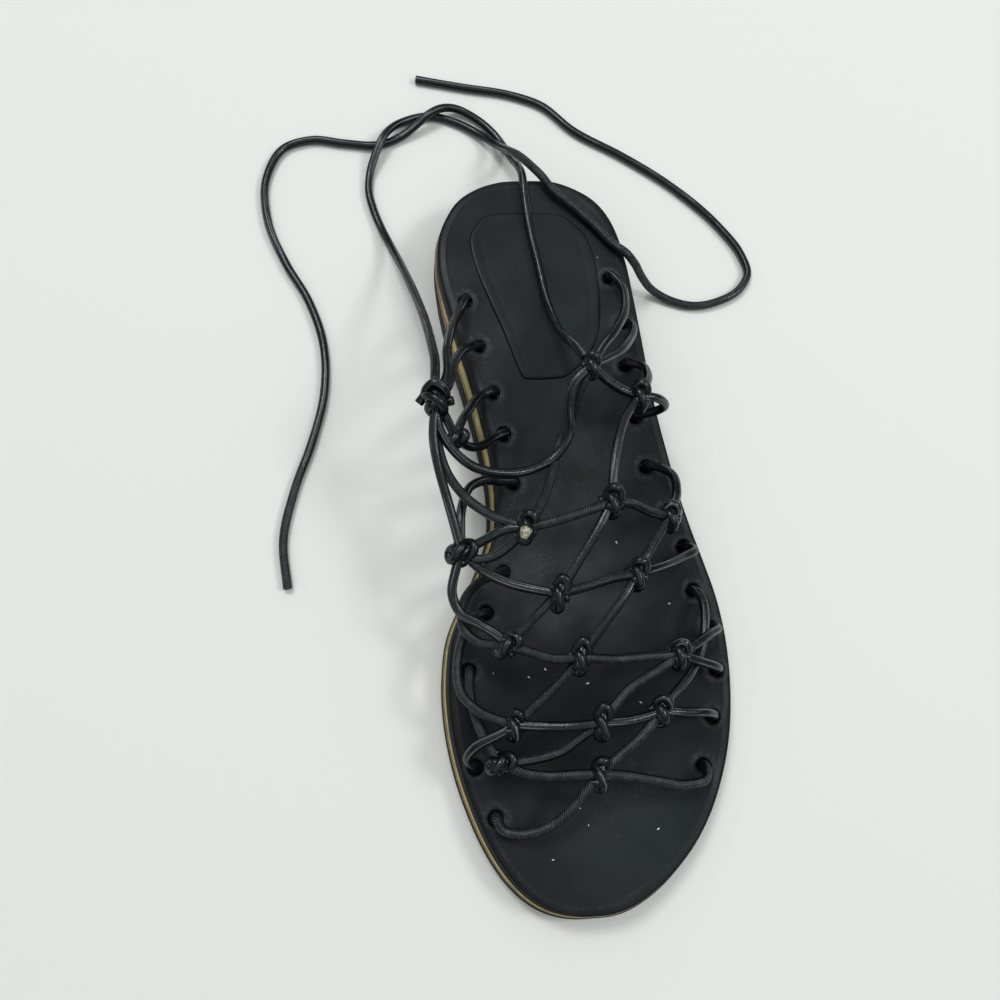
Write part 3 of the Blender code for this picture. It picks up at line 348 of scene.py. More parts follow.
def smooth_route(points: Array, spacing: float) -> Array:
    """Points at an even spacing on the smooth curve through a route's own points.

    Args:
        points: The route's points, one row each.
        spacing: The distance wanted between the new points.

    Returns:
        The new points, from the route's first to its last.
    """
    lengths = travel(points)
    fine = np.linspace(0.0, lengths[-1], 1200)
    dense = np.stack([curve_through(lengths, points[:, axis], fine) for axis in range(3)], axis=1)
    travelled = travel(dense)
    even = np.linspace(0.0, travelled[-1], max(4, int(travelled[-1] / spacing) + 1))
    return np.stack([np.interp(even, travelled, dense[:, axis]) for axis in range(3)], axis=1)


@dataclass
class Grid:
    """A surface on a grid that closes round its second way.

    points is rows by columns by x, y and z. along is each row's place in metres, and marks are named
    values by row or by row and column.
    """

    points: Array
    along: Array
    marks: dict[str, Array] = field(default_factory=dict)


def add_mark(mesh: Mesh, name: str, values: Array) -> None:
    """Stores a named value at each point of a mesh."""
    mesh.attributes.new(name, "FLOAT", "POINT").data.foreach_set("value", values.astype(np.float32))


def add_object(name: str, data: bpy.types.ID) -> Piece:
    """A new object at the origin of the scene.

    Args:
        name: The object's name.
        data: Its mesh, light or camera.

    Returns:
        The new object.
    """
    made = bpy.data.objects.new(name, data)
    bpy.context.scene.collection.objects.link(made)
    return made


def close_shell(mesh: Mesh) -> None:
    """Welds the mesh's poles and seams, drops empty faces and points every face outwards.

    Args:
        mesh: The mesh, changed in place.
    """
    work = bmesh.new()
    work.from_mesh(mesh)
    bmesh.ops.remove_doubles(work, verts=work.verts, dist=1e-6)
    bmesh.ops.dissolve_degenerate(work, edges=work.edges, dist=1e-7)
    bmesh.ops.recalc_face_normals(work, faces=work.faces)
    work.to_mesh(mesh)
    work.free()


def grids_to_object(name: str, grids: list[Grid], material: Material, crease: float = 40.0) -> Piece:
    """One mesh object of several grids, with a UV map and the grids' marks as attributes.

    Each face joins (i, j), (i, j + 1), (i + 1, j + 1) and (i + 1, j), and the last column joins the
    first. U is the share of the way round, and V is the row's place in metres.

    Args:
        name: The object's name.
        grids: The surfaces. Their end rows may shrink to a point or a line, which is welded.
        material: The finish of the whole object.
        crease: The angle in degrees above which an edge is sharp.

    Returns:
        The new object.
    """
    names = sorted({key for grid in grids for key in grid.marks})
    marks: dict[str, list[Array]] = {key: [] for key in names}
    points, faces, uvs, base = [], [], [], 0
    for grid in grids:
        rows, columns = grid.points.shape[:2]
        i, j = np.meshgrid(np.arange(rows - 1), np.arange(columns), indexing="ij")
        i, j = np.stack([i, i, i + 1, i + 1], axis=-1), np.stack([j, j + 1, j + 1, j], axis=-1)
        faces.append(base + (i * columns + j % columns).reshape(-1, 4))
        uvs.append(np.stack([j / columns, grid.along[i]], axis=-1).reshape(-1, 2))
        points.append(grid.points.reshape(-1, 3))
        for key, values in marks.items():
            value = np.asarray(grid.marks.get(key, 0.0), float)
            value = value[:, None] if value.ndim == 1 else value
            values.append(np.broadcast_to(value, (rows, columns)).ravel())
        base += rows * columns
    quads = np.concatenate(faces)
    mesh = bpy.data.meshes.new(name)
    mesh.vertices.add(base)
    mesh.vertices.foreach_set("co", np.concatenate(points).astype(np.float32).ravel())
    mesh.loops.add(quads.size)
    mesh.loops.foreach_set("vertex_index", quads.astype(np.int32).ravel())
    mesh.polygons.add(len(quads))
    mesh.polygons.foreach_set("loop_start", np.arange(0, quads.size, 4, dtype=np.int32))
    layer = mesh.uv_layers.new(name="surface")
    layer.data.foreach_set("uv", np.concatenate(uvs).astype(np.float32).ravel())
    for key, values in marks.items():
        add_mark(mesh, key, np.concatenate(values))
    mesh.update(calc_edges=True)
    mesh.validate()
    close_shell(mesh)
    mesh.shade_smooth()
    mesh.set_sharp_from_angle(angle=math.radians(crease))
    mesh.materials.append(material)
    return add_object(name, mesh)


def carry_frames(path: Array) -> tuple[Array, Array, Array]:
    """Tangent, side and binormal at each point of a path, turning as little as they can.

    The side starts straight up at the middle of the path and is carried to both ends: at each step
    its part along the new tangent is taken away.

    Args:
        path: The path's points, one row each.

    Returns:
        The three unit directions, one row for each point.
    """
    tangent = np.gradient(path, axis=0)
    tangent /= np.linalg.norm(tangent, axis=1)[:, None]
    side = np.zeros_like(path)
    middle = int(np.argmin(np.abs(tangent[:, 2])))
    side[middle] = (0.0, 0.0, 1.0)
    for order in (range(middle, len(path)), range(middle, -1, -1)):
        last = side[middle]
        for step in order:
            last = last - tangent[step] * (last @ tangent[step])
            last = last / np.linalg.norm(last)
            side[step] = last
    return tangent, side, np.cross(tangent, side)


def tube(path: Array, radius: Array | float, sides: int, marks: dict[str, float | Array]) -> Grid:
    """A round tube along a path, closed by a flat cut with a softened rim at both ends.

    A point is centre + radius (side cos a + binormal sin a), with a running once round.

    Args:
        path: The centre line's points.
        radius: The radius, one number or one for each point.
        sides: How many points go round.
        marks: Values for the whole tube or by point.

    Returns:
        The tube's grid, with V in metres along the path.
    """
    tangent, side, binormal = carry_frames(path)
    radius = np.broadcast_to(np.asarray(radius, float), (len(path),))
    rows = np.concatenate([[0, 0, 0], np.arange(len(path)), [len(path) - 1] * 3])
    cap_size, cap_push = np.array([0.0, 0.80, 0.96]), np.array([1.0, 1.0, 0.55]) * 0.18
    size = radius[rows].copy()
    size[:3] *= cap_size
    size[-3:] *= cap_size[::-1]
    push = np.zeros(len(rows))
    push[:3] = -cap_push * radius[0]
    push[-3:] = cap_push[::-1] * radius[-1]
    centre = path[rows] + tangent[rows] * push[:, None]
    angle = np.arange(sides) * (2.0 * math.pi / sides)
    ring = (side[rows][:, None, :] * np.cos(angle)[None, :, None]
            + binormal[rows][:, None, :] * np.sin(angle)[None, :, None])
    values = {key: np.broadcast_to(np.asarray(value, float), (len(path),))[rows]
              for key, value in marks.items()}
    return Grid(centre[:, None, :] + ring * size[:, None, None], travel(path)[rows] + push, values)


# The shape that all pieces share

@dataclass(frozen=True)
class SandalShape:
    """Named sizes of the sandal in metres, and the places and heights that they give."""

    length: float = 0.250
    ball: float = 0.094
    origin_along: float = 0.13
    footbed: float = 0.0032
    dish: float = 0.0008
    midsole: float = 0.0030
    midsole_step: float = 0.0027
    outsole: float = 0.0020
    outsole_step: float = 0.0018
    heel: float = 0.0100
    heel_length: float = 0.066
    heel_taper: float = 0.0012
    spring: float = 0.0045
    gap: float = 0.0003
    heel_seat_end: float = 0.20
    forefoot_start: float = 0.62
    spring_start: float = 0.78
    net_rise: float = 0.030
    cord: float = 0.0030
    knot_length: float = 0.0100
    knot_width: float = 0.0072

    def y_at(self, along: Array) -> Array:
        """Place on Y of a share of the length."""
        return (self.origin_along - along) * self.length

    def along_at(self, y: Array) -> Array:
        """Share of the length at a place on Y."""
        return self.origin_along - y / self.length

    def underside(self, along: Array) -> Array:
        """Height of the outsole's underside: heel seat, arch, flat forefoot and toe spring.

        Args:
            along: Shares of the length.

        Returns:
            The heights.
        """
        arch = 1.0 - smooth_step((along - self.heel_seat_end) / (self.forefoot_start - self.heel_seat_end))
        spring = np.clip((along - self.spring_start) / (1.0 - self.spring_start), 0.0, 1.1) ** 2
        return self.heel * arch + self.spring * spring

    def above(self, lift: float) -> Height:
        """The function of x and y that gives the underside's height plus a lift."""
        return lambda x, y: self.underside(self.along_at(y)) + lift

    def rim(self, along: Array) -> Array:
        """Height of the footbed's top at its rim."""
        return self.underside(along) + self.outsole + self.midsole + self.footbed + 2.0 * self.gap

    def edges(self, share: Array, table: tuple[Triple, ...] = FOOTBED_OUTLINE) -> tuple[Array, Array]:
        """Medial and lateral edge of an outline table at a share of its own length.

        Args:
            share: Shares of the table's length.
            table: The outline's rows.

        Returns:
            The places of both edges on X.
        """
        rows = np.asarray(table)
        known, wanted = end_parameter(rows[:, 0]), end_parameter(share)
        return (curve_through(known, rows[:, 1], wanted) * self.ball,
                curve_through(known, rows[:, 2], wanted) * self.ball)

    def top(self, x: Array, y: Array) -> Array:
        """Height of the footbed's top: its rim's height, dished down across the width.

        Args:
            x: Places on X.
            y: Places on Y.

        Returns:
            The heights.
        """
        along = self.along_at(y)
        medial, lateral = self.edges(along)
        half = np.maximum(0.5 * (lateral - medial), 0.1 * self.ball)
        inside = np.clip(1.0 - ((x - 0.5 * (medial + lateral)) / half) ** 2, 0.0, 1.0)
        return self.rim(along) - self.dish * smooth_step(inside)

    def point(self, along: float, across: float, rise: float) -> Array:
        """A point of the net from its shares."""
        lift = float(self.rim(np.float64(along))) + rise * self.net_rise
        return np.array([across * self.ball, self.y_at(along), lift])

    def hole(self, name: str) -> Array:
        """The middle of a cord hole at the rim's height.

        Args:
            name: The hole's name.

        Returns:
            Its x, y and z.
        """
        side, along, inset = HOLES[name]
        medial, lateral = self.edges(np.array([along]))
        x = lateral[0] - inset * self.ball if side > 0 else medial[0] + inset * self.ball
        return np.array([x, self.y_at(along), float(self.rim(np.float64(along)))])

    def holes(self) -> Array:
        """The middles of all cord holes, one row each."""
        return np.array([self.hole(name) for name in HOLES])

    def centre(self, name: str) -> Array:
        """The middle of a knot."""
        knot = KNOTS[name]
        return self.point(knot.along, knot.across, knot.rise)

    def knot_half(self, name: str) -> Array:
        """Half a knot's size across, along and out.

        Args:
            name: The knot's name.

        Returns:
            The three half sizes.
        """
        knot = KNOTS[name]
        return 0.5 * np.array([knot.width * self.knot_width, knot.length * self.knot_length,
                               knot.width * self.knot_width])


@dataclass(frozen=True)
class Ring:
    """A closed outline seen from above: its points, the way inwards at each, and the spine's points."""

    points: Array
    inward: Array
    spine: Array
    travelled: Array

    @classmethod
    def of(cls, lateral: Array, medial: Array, spine: Array, bulges: tuple[float, float]) -> Ring:
        """Joins two sides, both from heel to toe, with shallow arcs at the heel and the toe.

        Args:
            lateral: The lateral side's points.
            medial: The medial side's points.
            spine: The point between them that each station shrinks to.
            bulges: How far the arcs at the heel and the toe stand out.

        Returns:
            The ring, running down the lateral side and back up the medial one.
        """
        cap = 8
        share = (np.arange(cap) + 1.0) / (cap + 1.0)
        bow = (1.0 - (2.0 * share - 1.0) ** 2)[:, None] * np.array([0.0, 1.0])
        toe = lateral[-1] + (medial[-1] - lateral[-1]) * share[:, None] - bow * bulges[1]
        heel = medial[0] + (lateral[0] - medial[0]) * share[:, None] + bow * bulges[0]
        points = np.concatenate([lateral, toe, medial[::-1], heel])
        toe_spine, heel_spine = spine[-1:].repeat(cap, 0), spine[:1].repeat(cap, 0)
        middles = np.concatenate([spine, toe_spine, spine[::-1], heel_spine])
        way = np.roll(points, -1, axis=0) - np.roll(points, 1, axis=0)
        way /= np.linalg.norm(way, axis=1)[:, None]
        return cls(points, np.stack([way[:, 1], -way[:, 0]], axis=1), middles, travel(points))


@dataclass(frozen=True)
class Profile:
    """Rows of a shell from the middle of its underside to the middle of its top.

    inset moves a row inwards in metres, share moves it towards the spine, depth is 0 at the top face
    and 1 at the bottom one, and lift moves it up in metres.
    """

    inset: Array
    share: Array
    depth: Array
    lift: Array

    @classmethod
    def of(cls, side: Rows, rings: int, pressed: Triple = (0.0, 1.0, 0.0)) -> Profile:
        """A side profile of inset, depth and perhaps lift from bottom to top, with both faces filled.

        The top's first rings are close to the edge and the rest are even: share = t^1.15. A pressed
        line is a bell curve of the share: its place, its width and its depth in metres.

        Args:
            side: The side's rows.
            rings: How many rings fill the top face.
            pressed: The pressed line.

        Returns:
            The whole profile.
        """
        under = 3
        rows = np.array([(*row, 0.0)[:3] for row in side])
        above = np.linspace(0.0, 1.0, rings + 1)[1:] ** 1.15
        share = np.concatenate([np.linspace(1.0, 0.0, under + 1)[:-1], np.zeros(len(rows)), above])
        filled = np.concatenate([rows[:1].repeat(under, 0), rows, rows[-1:].repeat(rings, 0)])
        filled[-rings:, 2] -= pressed[2] * bell(above - pressed[0], pressed[1])
        return cls(filled[:, 0], share, filled[:, 1], filled[:, 2])


def shell(ring: Ring, profile: Profile, top: Height, bottom: Height) -> Grid:
    """A closed layer: each profile row is the ring moved inwards and towards the spine.

    A point is outline + inset * inward, then moved by share towards the spine. Its height is
    top * (1 - depth) + bottom * depth + lift.

    Args:
        ring: The outline.
        profile: The rows.
        top: A function of x and y that gives the upper face's height.
        bottom: The same for the lower face.

    Returns:
        The layer's grid, with its depth, the distance in from the outline and the way round it as
        marks, and V in metres along the profile.
    """
    edge = ring.points[None] + ring.inward[None] * profile.inset[:, None, None]
    flat = edge + (ring.spine[None] - edge) * profile.share[:, None, None]
    x, y, depth = flat[..., 0], flat[..., 1], profile.depth[:, None]
    height = top(x, y) * (1.0 - depth) + bottom(x, y) * depth + profile.lift[:, None]
    points = np.concatenate([flat, height[..., None]], axis=-1)
    inward = np.linalg.norm(flat - ring.points[None], axis=-1)
    around = np.broadcast_to(ring.travelled, height.shape)
    marks = {"depth": profile.depth, "inward": inward, "around": around}
    return Grid(points, travel(points.mean(axis=1)), marks)


def spine_points(shape: SandalShape, share: Array, y: Array, table: tuple[Triple, ...]) -> Array:
    """Points midway between the two edges of an outline table."""
    medial, lateral = shape.edges(share, table)
    return np.stack([0.5 * (medial + lateral), y], axis=1)


def sole_ring(shape: SandalShape, midsole_step: float = 0.0, outsole_step: float = 0.0, last: float = 1.0,
              stations: int = 230) -> Ring:
    """The footbed's outline moved out by the steps of the layers under it, up to a share of the length.

    Args:
        shape: The sandal's sizes.
        midsole_step: How far the midsole steps out.
        outsole_step: How far the outsole steps out past it.
        last: The share of the length where the ring ends.
        stations: How many points each side has.

    Returns:
        The layer's outline.
    """
    share = station_shares(stations, last)
    medial, lateral = shape.edges(share)
    along, *shares = np.asarray(STEPS).T
    midsole_out, outsole_out, lateral_out = (np.interp(share, along, column) for column in shares)
    medial_out = midsole_out * midsole_step + outsole_out * outsole_step
    lateral_out = lateral_out * (midsole_step + outsole_step)
    ends = np.interp(share, (0.0, 1.0), (-lateral_out[0], lateral_out[-1])) / shape.length
    y = shape.y_at(share + ends)
    whole, bulge = last >= 1.0, 0.00003
    inner = np.clip(share, min(0.15, 0.4 * last), 0.85 if whole else 0.65 * last)
    return Ring.of(np.stack([lateral + lateral_out, y], axis=1), np.stack([medial - medial_out, y], axis=1),
                   spine_points(shape, inner, shape.y_at(inner), FOOTBED_OUTLINE),
                   (bulge, bulge if whole else 0.0))


def pad_ring(shape: SandalShape) -> Ring:
    """The heel pad's outline on the footbed.

    Args:
        shape: The sandal's sizes.

    Returns:
        The pad's outline.
    """
    share = station_shares(120)
    medial, lateral = shape.edges(share, PAD_OUTLINE)
    inner = np.clip(share, 0.3, 0.75)
    y, inner_y = (shape.y_at(PAD_SPAN[0] + part * (PAD_SPAN[1] - PAD_SPAN[0])) for part in (share, inner))
    return Ring.of(np.stack([lateral, y], axis=1), np.stack([medial, y], axis=1),
                   spine_points(shape, inner, inner_y, PAD_OUTLINE), (0.0004, 0.0002))


# Node helpers and node groups

def fill(made: Node, inputs: dict[int | str, object]) -> Node:
    """Sets or links a node's inputs and gives the node back. A colour gets its alpha here.

    Args:
        made: The node.
        inputs: A number, a colour or a socket for each input's name or number.

    Returns:
        The same node.
    """
    for key, value in inputs.items():
        socket = made.inputs[key]
        if isinstance(value, Socket):
            made.id_data.links.new(value, socket)
        else:
            socket.default_value = (*value, 1.0) if socket.type == "RGBA" else value
    return made


def node(tree: Tree, kind: str, inputs: dict[int | str, object] | None = None, **settings: object) -> Node:
    """A node with its settings, its input values and its links from other sockets.

    Args:
        tree: The tree that gets the node.
        kind: The node's type.
        inputs: Its inputs, as in fill.
        settings: The node's own settings.

    Returns:
        The new node.
    """
    made = tree.nodes.new(kind)
    for key, value in settings.items():
        setattr(made, key, value)
    return fill(made, inputs or {})


def maths(operation: str, *values: object) -> Socket:
    """The result of a Math node in the tree of the first socket among its values."""
    tree = next(value.id_data for value in values if isinstance(value, Socket))
    return node(tree, "ShaderNodeMath", dict(enumerate(values)), operation=operation).outputs[0]


plus, minus, times = partial(maths, "ADD"), partial(maths, "SUBTRACT"), partial(maths, "MULTIPLY")
most, sine, cosine = partial(maths, "MAXIMUM"), partial(maths, "SINE"), partial(maths, "COSINE")


def blend(factor: Socket, low: Socket | Triple, high: Socket | Triple) -> Socket:
    """A mix of two colours by a factor."""
    return node(factor.id_data, "ShaderNodeMix", {0: factor, 6: low, 7: high}, data_type="RGBA").outputs[2]


def window(value: Socket, low: float, high: float, out: Pair = (0.0, 1.0)) -> Socket:
    """A smooth step of a value from one limit to the other, given out between two numbers."""
    return node(value.id_data, "ShaderNodeMapRange", {0: value, 1: low, 2: high, 3: out[0], 4: out[1]},
                interpolation_type="SMOOTHSTEP").outputs[0]


def noise(where: Socket, scale: float, detail: float = 3.0, rough: float = 0.55) -> Socket:
    """A noise value at a place."""
    return node(where.id_data, "ShaderNodeTexNoise", {"Vector": where, "Scale": scale, "Detail": detail,
                                                      "Roughness": rough}).outputs[0]


def bump(height: Socket, strength: float, depth: float) -> Socket:
    """The normal of a surface that a height value raises by a depth in metres."""
    return node(height.id_data, "ShaderNodeBump", {"Strength": strength, "Distance": depth,
                                                   "Height": height}).outputs[0]


def mark(tree: Tree, name: str) -> Socket:
    """A named value of the mesh."""
    return node(tree, "ShaderNodeAttribute", attribute_name=name).outputs["Fac"]


def new_group(name: str, inputs: dict[str, float | None], *outputs: str) -> tuple[Tree, Node, Node]:
    """A shader node group with named sockets.

    Args:
        name: The group's name.
        inputs: Each input's name, with a default number or None for a vector.
        outputs: The names of the number outputs.

    Returns:
        The group, its input node and its output node.
    """
    group = bpy.data.node_groups.new(name, "ShaderNodeTree")
    for label, default in inputs.items():
        kind = "NodeSocketVector" if default is None else "NodeSocketFloat"
        socket = group.interface.new_socket(name=label, in_out="INPUT", socket_type=kind)
        if default is not None:
            socket.default_value = default
    for label in outputs:
        group.interface.new_socket(name=label, in_out="OUTPUT", socket_type="NodeSocketFloat")
    return group, group.nodes.new("NodeGroupInput"), group.nodes.new("NodeGroupOutput")


def leather_grain_group() -> Tree:
    """Leather grain: rounded cells with soft creases between them, and a slow change of tone.

    Returns:
        The group, which gives a height and a tone.
    """
    inputs = {"Place": None, "Cells per metre": 900.0}
    group, given, out = new_group("leather_grain", inputs, "Height", "Tone")
    place, scale = given.outputs[:2]
    where = {"Vector": place, "Scale": scale}
    cells = node(group, "ShaderNodeTexVoronoi", where, feature="DISTANCE_TO_EDGE").outputs[0]
    crease = window(cells, 0.0, 0.22)
    height = plus(times(crease, 0.7), times(noise(place, 2600.0, 2.0), 0.5))
    fill(out, {"Height": height, "Tone": noise(place, 38.0, 4.0, 0.6)})
    return group


def scuff_group() -> Tree:
    """Rubbed specks and short scratches: fine noise above a threshold that a slower noise moves.

    Returns:
        The group, which gives a mask.
    """
    group, given, out = new_group("scuffs", {"Place": None, "Amount": 0.5}, "Mask")
    place, amount = given.outputs[:2]
    level = plus(noise(place, 900.0, 5.0, 0.7), times(noise(place, 42.0, 3.0, 0.6), 0.5))
    fill(out, {"Mask": window(minus(level, minus(0.98, times(amount, 0.35))), 0.0, 0.16)})
    return group


def whip_stitch_group() -> Tree:
    """A whip-stitched seam on a round cord.

    The look runs from 0, a plain cord, through about 0.45, two rows of fine dots, to 1, slanted ribs
    over most of the cord. Ribs are a sine along the cord that leans round it, and dots are the product
    of a sine along the cord and one round it. The seam drifts slowly round the cord along its length,
    and a thin line runs along each of its edges.

    Returns:
        The group, which gives raised ribs, their band and the lines at its edges, where the cord's finish
        paints highlight lines.
    """
    inputs = {"Surface": None, "Seam": 0.0, "Look": 1.0, "Pitch": 0.0009}
    group, given, out = new_group("whip_stitch", inputs, "Raised", "Band", "Line")
    surface, seam, look, pitch = given.outputs[:4]
    round_share, along = node(group, "ShaderNodeSeparateXYZ", {0: surface}).outputs[:2]
    turn, dots_round, edge_places = 2.0 * math.pi, 8.0, (0.12, -0.07)
    off = minus(minus(round_share, seam), times(sine(times(along, 70.0)), 0.04))
    facing = cosine(times(off, turn))
    band = times(window(minus(facing, minus(1.05, look)), -0.12, 0.15), window(look, 0.05, 0.3))
    along_turns = maths("DIVIDE", along, pitch)
    lean = times(sine(times(off, turn)), 1.1)
    ribs = sine(times(plus(along_turns, lean), turn))
    dots = times(sine(times(off, turn * dots_round)), sine(times(along_turns, turn)))
    ribbed = window(look, 0.55, 0.85)
    wave = plus(times(ribs, ribbed), times(dots, minus(1.2, ribbed)))
    line = most(*(cosine(times(plus(off, place), turn)) for place in edge_places))
    fill(out, {"Raised": window(wave, -0.25, 0.85), "Band": band, "Line": window(line, 0.984, 0.998)})
    return group


@dataclass
class Effects:
    """The node groups that the finishes share."""

    grain: Tree = field(default_factory=leather_grain_group)
    scuffs: Tree = field(default_factory=scuff_group)
    stitch: Tree = field(default_factory=whip_stitch_group)

    def grain_at(self, place: Socket, cells: float) -> tuple[Socket, Socket]:
        """Height and tone of leather grain at a place."""
        inputs = {"Place": place, "Cells per metre": cells}
        return tuple(node(place.id_data, "ShaderNodeGroup", inputs, node_tree=self.grain).outputs)

    def scuffs_at(self, place: Socket, amount: Socket | float) -> Socket:
        """The mask of rubbed specks at a place."""
        inputs = {"Place": place, "Amount": amount}
        return node(place.id_data, "ShaderNodeGroup", inputs, node_tree=self.scuffs).outputs[0]

    def stitch_at(self, surface: Socket, seam: Socket, look: Socket, pitch: float) -> tuple[Socket, ...]:
        """Raised ribs, the band that they fill and the lines along its edges."""
        inputs = {"Surface": surface, "Seam": seam, "Look": look, "Pitch": pitch}
        return tuple(node(surface.id_data, "ShaderNodeGroup", inputs, node_tree=self.stitch).outputs)


# Finishes

def new_material(name: str) -> tuple[Material, Tree, Node, Socket]:
    """A new material that is ready for its finish.

    Args:
        name: The material's name.

    Returns:
        The material, its tree, its Principled node and the Object coordinates.
    """
    material = bpy.data.materials.new(name)
    material.use_nodes = True
    tree = material.node_tree
    place = tree.nodes.new("ShaderNodeTexCoord").outputs["Object"]
    return material, tree, tree.nodes["Principled BSDF"], place


@dataclass(frozen=True)
class SmoothLeather:
    """Smooth black leather of the footbed and the heel pad: rubbed leather, painted sheen and painted
    highlights where the mesh's marks say so, and painted shade along the pad's edge.
    """

    effects: Effects
    colour: Triple = (0.0042, 0.0050, 0.0080)
    # Painted reflection: a greenish tint in random patches
    reflection_patch: Triple = (0.0026, 0.0074, 0.0070)
    wear_and_sheen_colour: Triple = (0.0600, 0.0625, 0.0750)
    rubbed_and_highlight: Triple = (0.080, 0.080, 0.086)
    painted_shade: Triple = (0.0012, 0.0012, 0.0012)
    tint: Triple = (0.92, 0.98, 1.0)
    roughness: Pair = (0.34, 0.50)
    gloss: float = 0.24
    cells: float = 1200.0
    grain_depth: float = 0.00003
    scuffs: float = 0.30

    def material(self, name: str) -> Material:
        """Builds black leather with soft grain, scuffs, painted reflection patches, lighter clouds of wear
        and painted sheen, painted highlights and painted shade along the pad's edge.

        Args:
            name: The material's name.

        Returns:
            The finished material.
        """
        made, tree, shader, place = new_material(name)
        height, tone = self.effects.grain_at(place, self.cells)
        # Rubbed leather, partly painted sheen and painted highlights at the holes and the rim
        wear = mark(tree, "rubbed_and_highlight")
        scuff = self.effects.scuffs_at(place, plus(times(wear, 0.9), self.scuffs))
        # Painted reflection of the surroundings, in random greenish patches
        reflection_patch = window(noise(place, 20.0), 0.46, 0.62)
        colour = blend(reflection_patch, self.colour, self.reflection_patch)
        uneven = window(noise(place, 55.0, 4.0), 0.35, 0.65, (0.35, 1.0))
        # Lighter clouds, partly worn leather and partly painted sheen
        colour = blend(times(mark(tree, "haze"), uneven), colour, self.wear_and_sheen_colour)
        colour = blend(plus(times(scuff, 0.30), times(wear, 0.22)), colour, self.rubbed_and_highlight)
        # Painted shade along the pad's rounded edge
        colour = blend(mark(tree, "seam_dirt"), colour, self.painted_shade)
        rough = plus(window(tone, 0.35, 0.68, self.roughness), times(scuff, 0.10))
        fill(shader, {"Base Color": colour, "Roughness": rough,
                      "Normal": bump(height, 0.5, self.grain_depth),
                      "Specular IOR Level": self.gloss, "Specular Tint": self.tint})
        return made


@dataclass(frozen=True)
class CordLeather:
    """Stitched round black leather cord, read from the cord's own UV map and marks."""

    effects: Effects
    colour: Triple = (0.0024, 0.0034, 0.0048)
    # Dust, also the painted highlight on the rib crests
    dusty: Triple = (0.088, 0.098, 0.110)
    # Painted highlight lines along the seam's edges
    highlight_line: Triple = (0.165, 0.182, 0.200)
    core: Triple = (0.54, 0.51, 0.37)
    core_shade: Triple = (0.20, 0.20, 0.155)
    tint: Triple = (0.88, 0.95, 1.0)
    roughness: Pair = (0.15, 0.28)
    gloss: float = 0.55
    cells: float = 2300.0
    pitch: float = 0.00086
    rib_depth: float = 0.00018

    def material(self, name: str) -> Material:
        """Builds black cord with its stitched ribs, dust with painted highlights on the rib crests, painted
        highlight lines along the seam, and bare core.

        Args:
            name: The material's name.

        Returns:
            The finished material.
        """
        made, tree, shader, place = new_material(name)
        surface = node(tree, "ShaderNodeUVMap", uv_map="surface").outputs[0]
        seam, look = mark(tree, "seam"), mark(tree, "ribbing")
        raised, band, line = self.effects.stitch_at(surface, seam, look, self.pitch)
        height, tone = self.effects.grain_at(place, self.cells)
        uneven = window(noise(place, 420.0), 0.35, 0.7, (0.2, 0.85))
        # Rib crests lighter than the grooves: partly dust, partly painted highlight
        dust = times(times(band, raised), uneven)
        light = most(dust, times(self.effects.scuffs_at(place, 0.35), 0.4))
        colour = blend(light, self.colour, self.dusty)
        # Painted highlight lines along the seam's edges, showing in some places only
        showing = window(noise(place, 75.0, 2.0), 0.42, 0.60, (0.10, 0.90))
        highlight_line = times(times(line, minus(0.8, band)), showing)
        colour = blend(highlight_line, colour, self.highlight_line)
        bare = window(plus(mark(tree, "worn"), times(noise(place, 700.0, 4.0), 0.8)), 1.15, 1.50)
        core = blend(window(noise(place, 1500.0), 0.4, 0.65), self.core_shade, self.core)
        rough = plus(window(tone, 0.35, 0.65, self.roughness), times(most(bare, band), 0.18))
        low = minus(times(height, 0.10), times(band, minus(1.0, raised)))
        low = plus(low, times(line, 0.25))
        fill(shader, {"Base Color": blend(bare, colour, core), "Roughness": rough,
                      "Normal": bump(low, 0.9, self.rib_depth),
                      "Specular IOR Level": self.gloss, "Specular Tint": self.tint})
        return made


@dataclass(frozen=True)
class StackedEdge:
    """The cut edge of two tan leather layers, with fibres along the edge and rosy stains."""

    upper: Triple = (0.500, 0.415, 0.205)
    lower: Triple = (0.350, 0.285, 0.135)
    rosy: Triple = (0.400, 0.250, 0.170)
    stain: Triple = (0.090, 0.060, 0.032)
    dark: Triple = (0.020, 0.018, 0.014)
    roughness: float = 0.62
    fibre_depth: float = 0.00010

    def material(self, name: str) -> Material:
        """Builds tan layers with fibres, blotches and the dark lines between them.

        Args:
            name: The material's name.

        Returns:
            The finished material.
        """
        made, tree, shader, place = new_material(name)
        depth, around = mark(tree, "depth"), mark(tree, "around")
        where = node(tree, "ShaderNodeCombineXYZ", {0: times(around, 190.0), 1: times(depth, 7.0)})
        fibre = noise(where.outputs[0], 1.0, 5.0, 0.65)
        colour = blend(window(depth, 0.46, 0.54), self.upper, self.lower)
        y = node(tree, "ShaderNodeSeparateXYZ", {0: place}).outputs[1]
        blotches = window(noise(place, 75.0, 2.0), 0.62, 0.70, (0.0, 0.7))
        rosy = most(window(y, -0.040, -0.005, (0.0, 0.75)), blotches)
        colour = blend(rosy, colour, self.rosy)
        colour = blend(window(fibre, 0.45, 0.75, (0.0, 0.7)), colour, self.stain)
        on_top = window(depth, 0.06, 0.02)
        lip = times(window(mark(tree, "inward"), 0.0006, 0.0003), on_top)
        colour = blend(times(lip, 0.6), colour, self.stain)
        groove = window(maths("ABSOLUTE", minus(depth, 0.5)), 0.07, 0.02)
        shaded = times(window(mark(tree, "beyond_footbed"), 0.0010, 0.0007), on_top)
        dark = most(most(groove, window(depth, 0.94, 0.99)), shaded)
        fill(shader, {"Base Color": blend(dark, colour, self.dark), "Roughness": self.roughness,
                      "Normal": bump(fibre, 0.6, self.fibre_depth)})
        return made


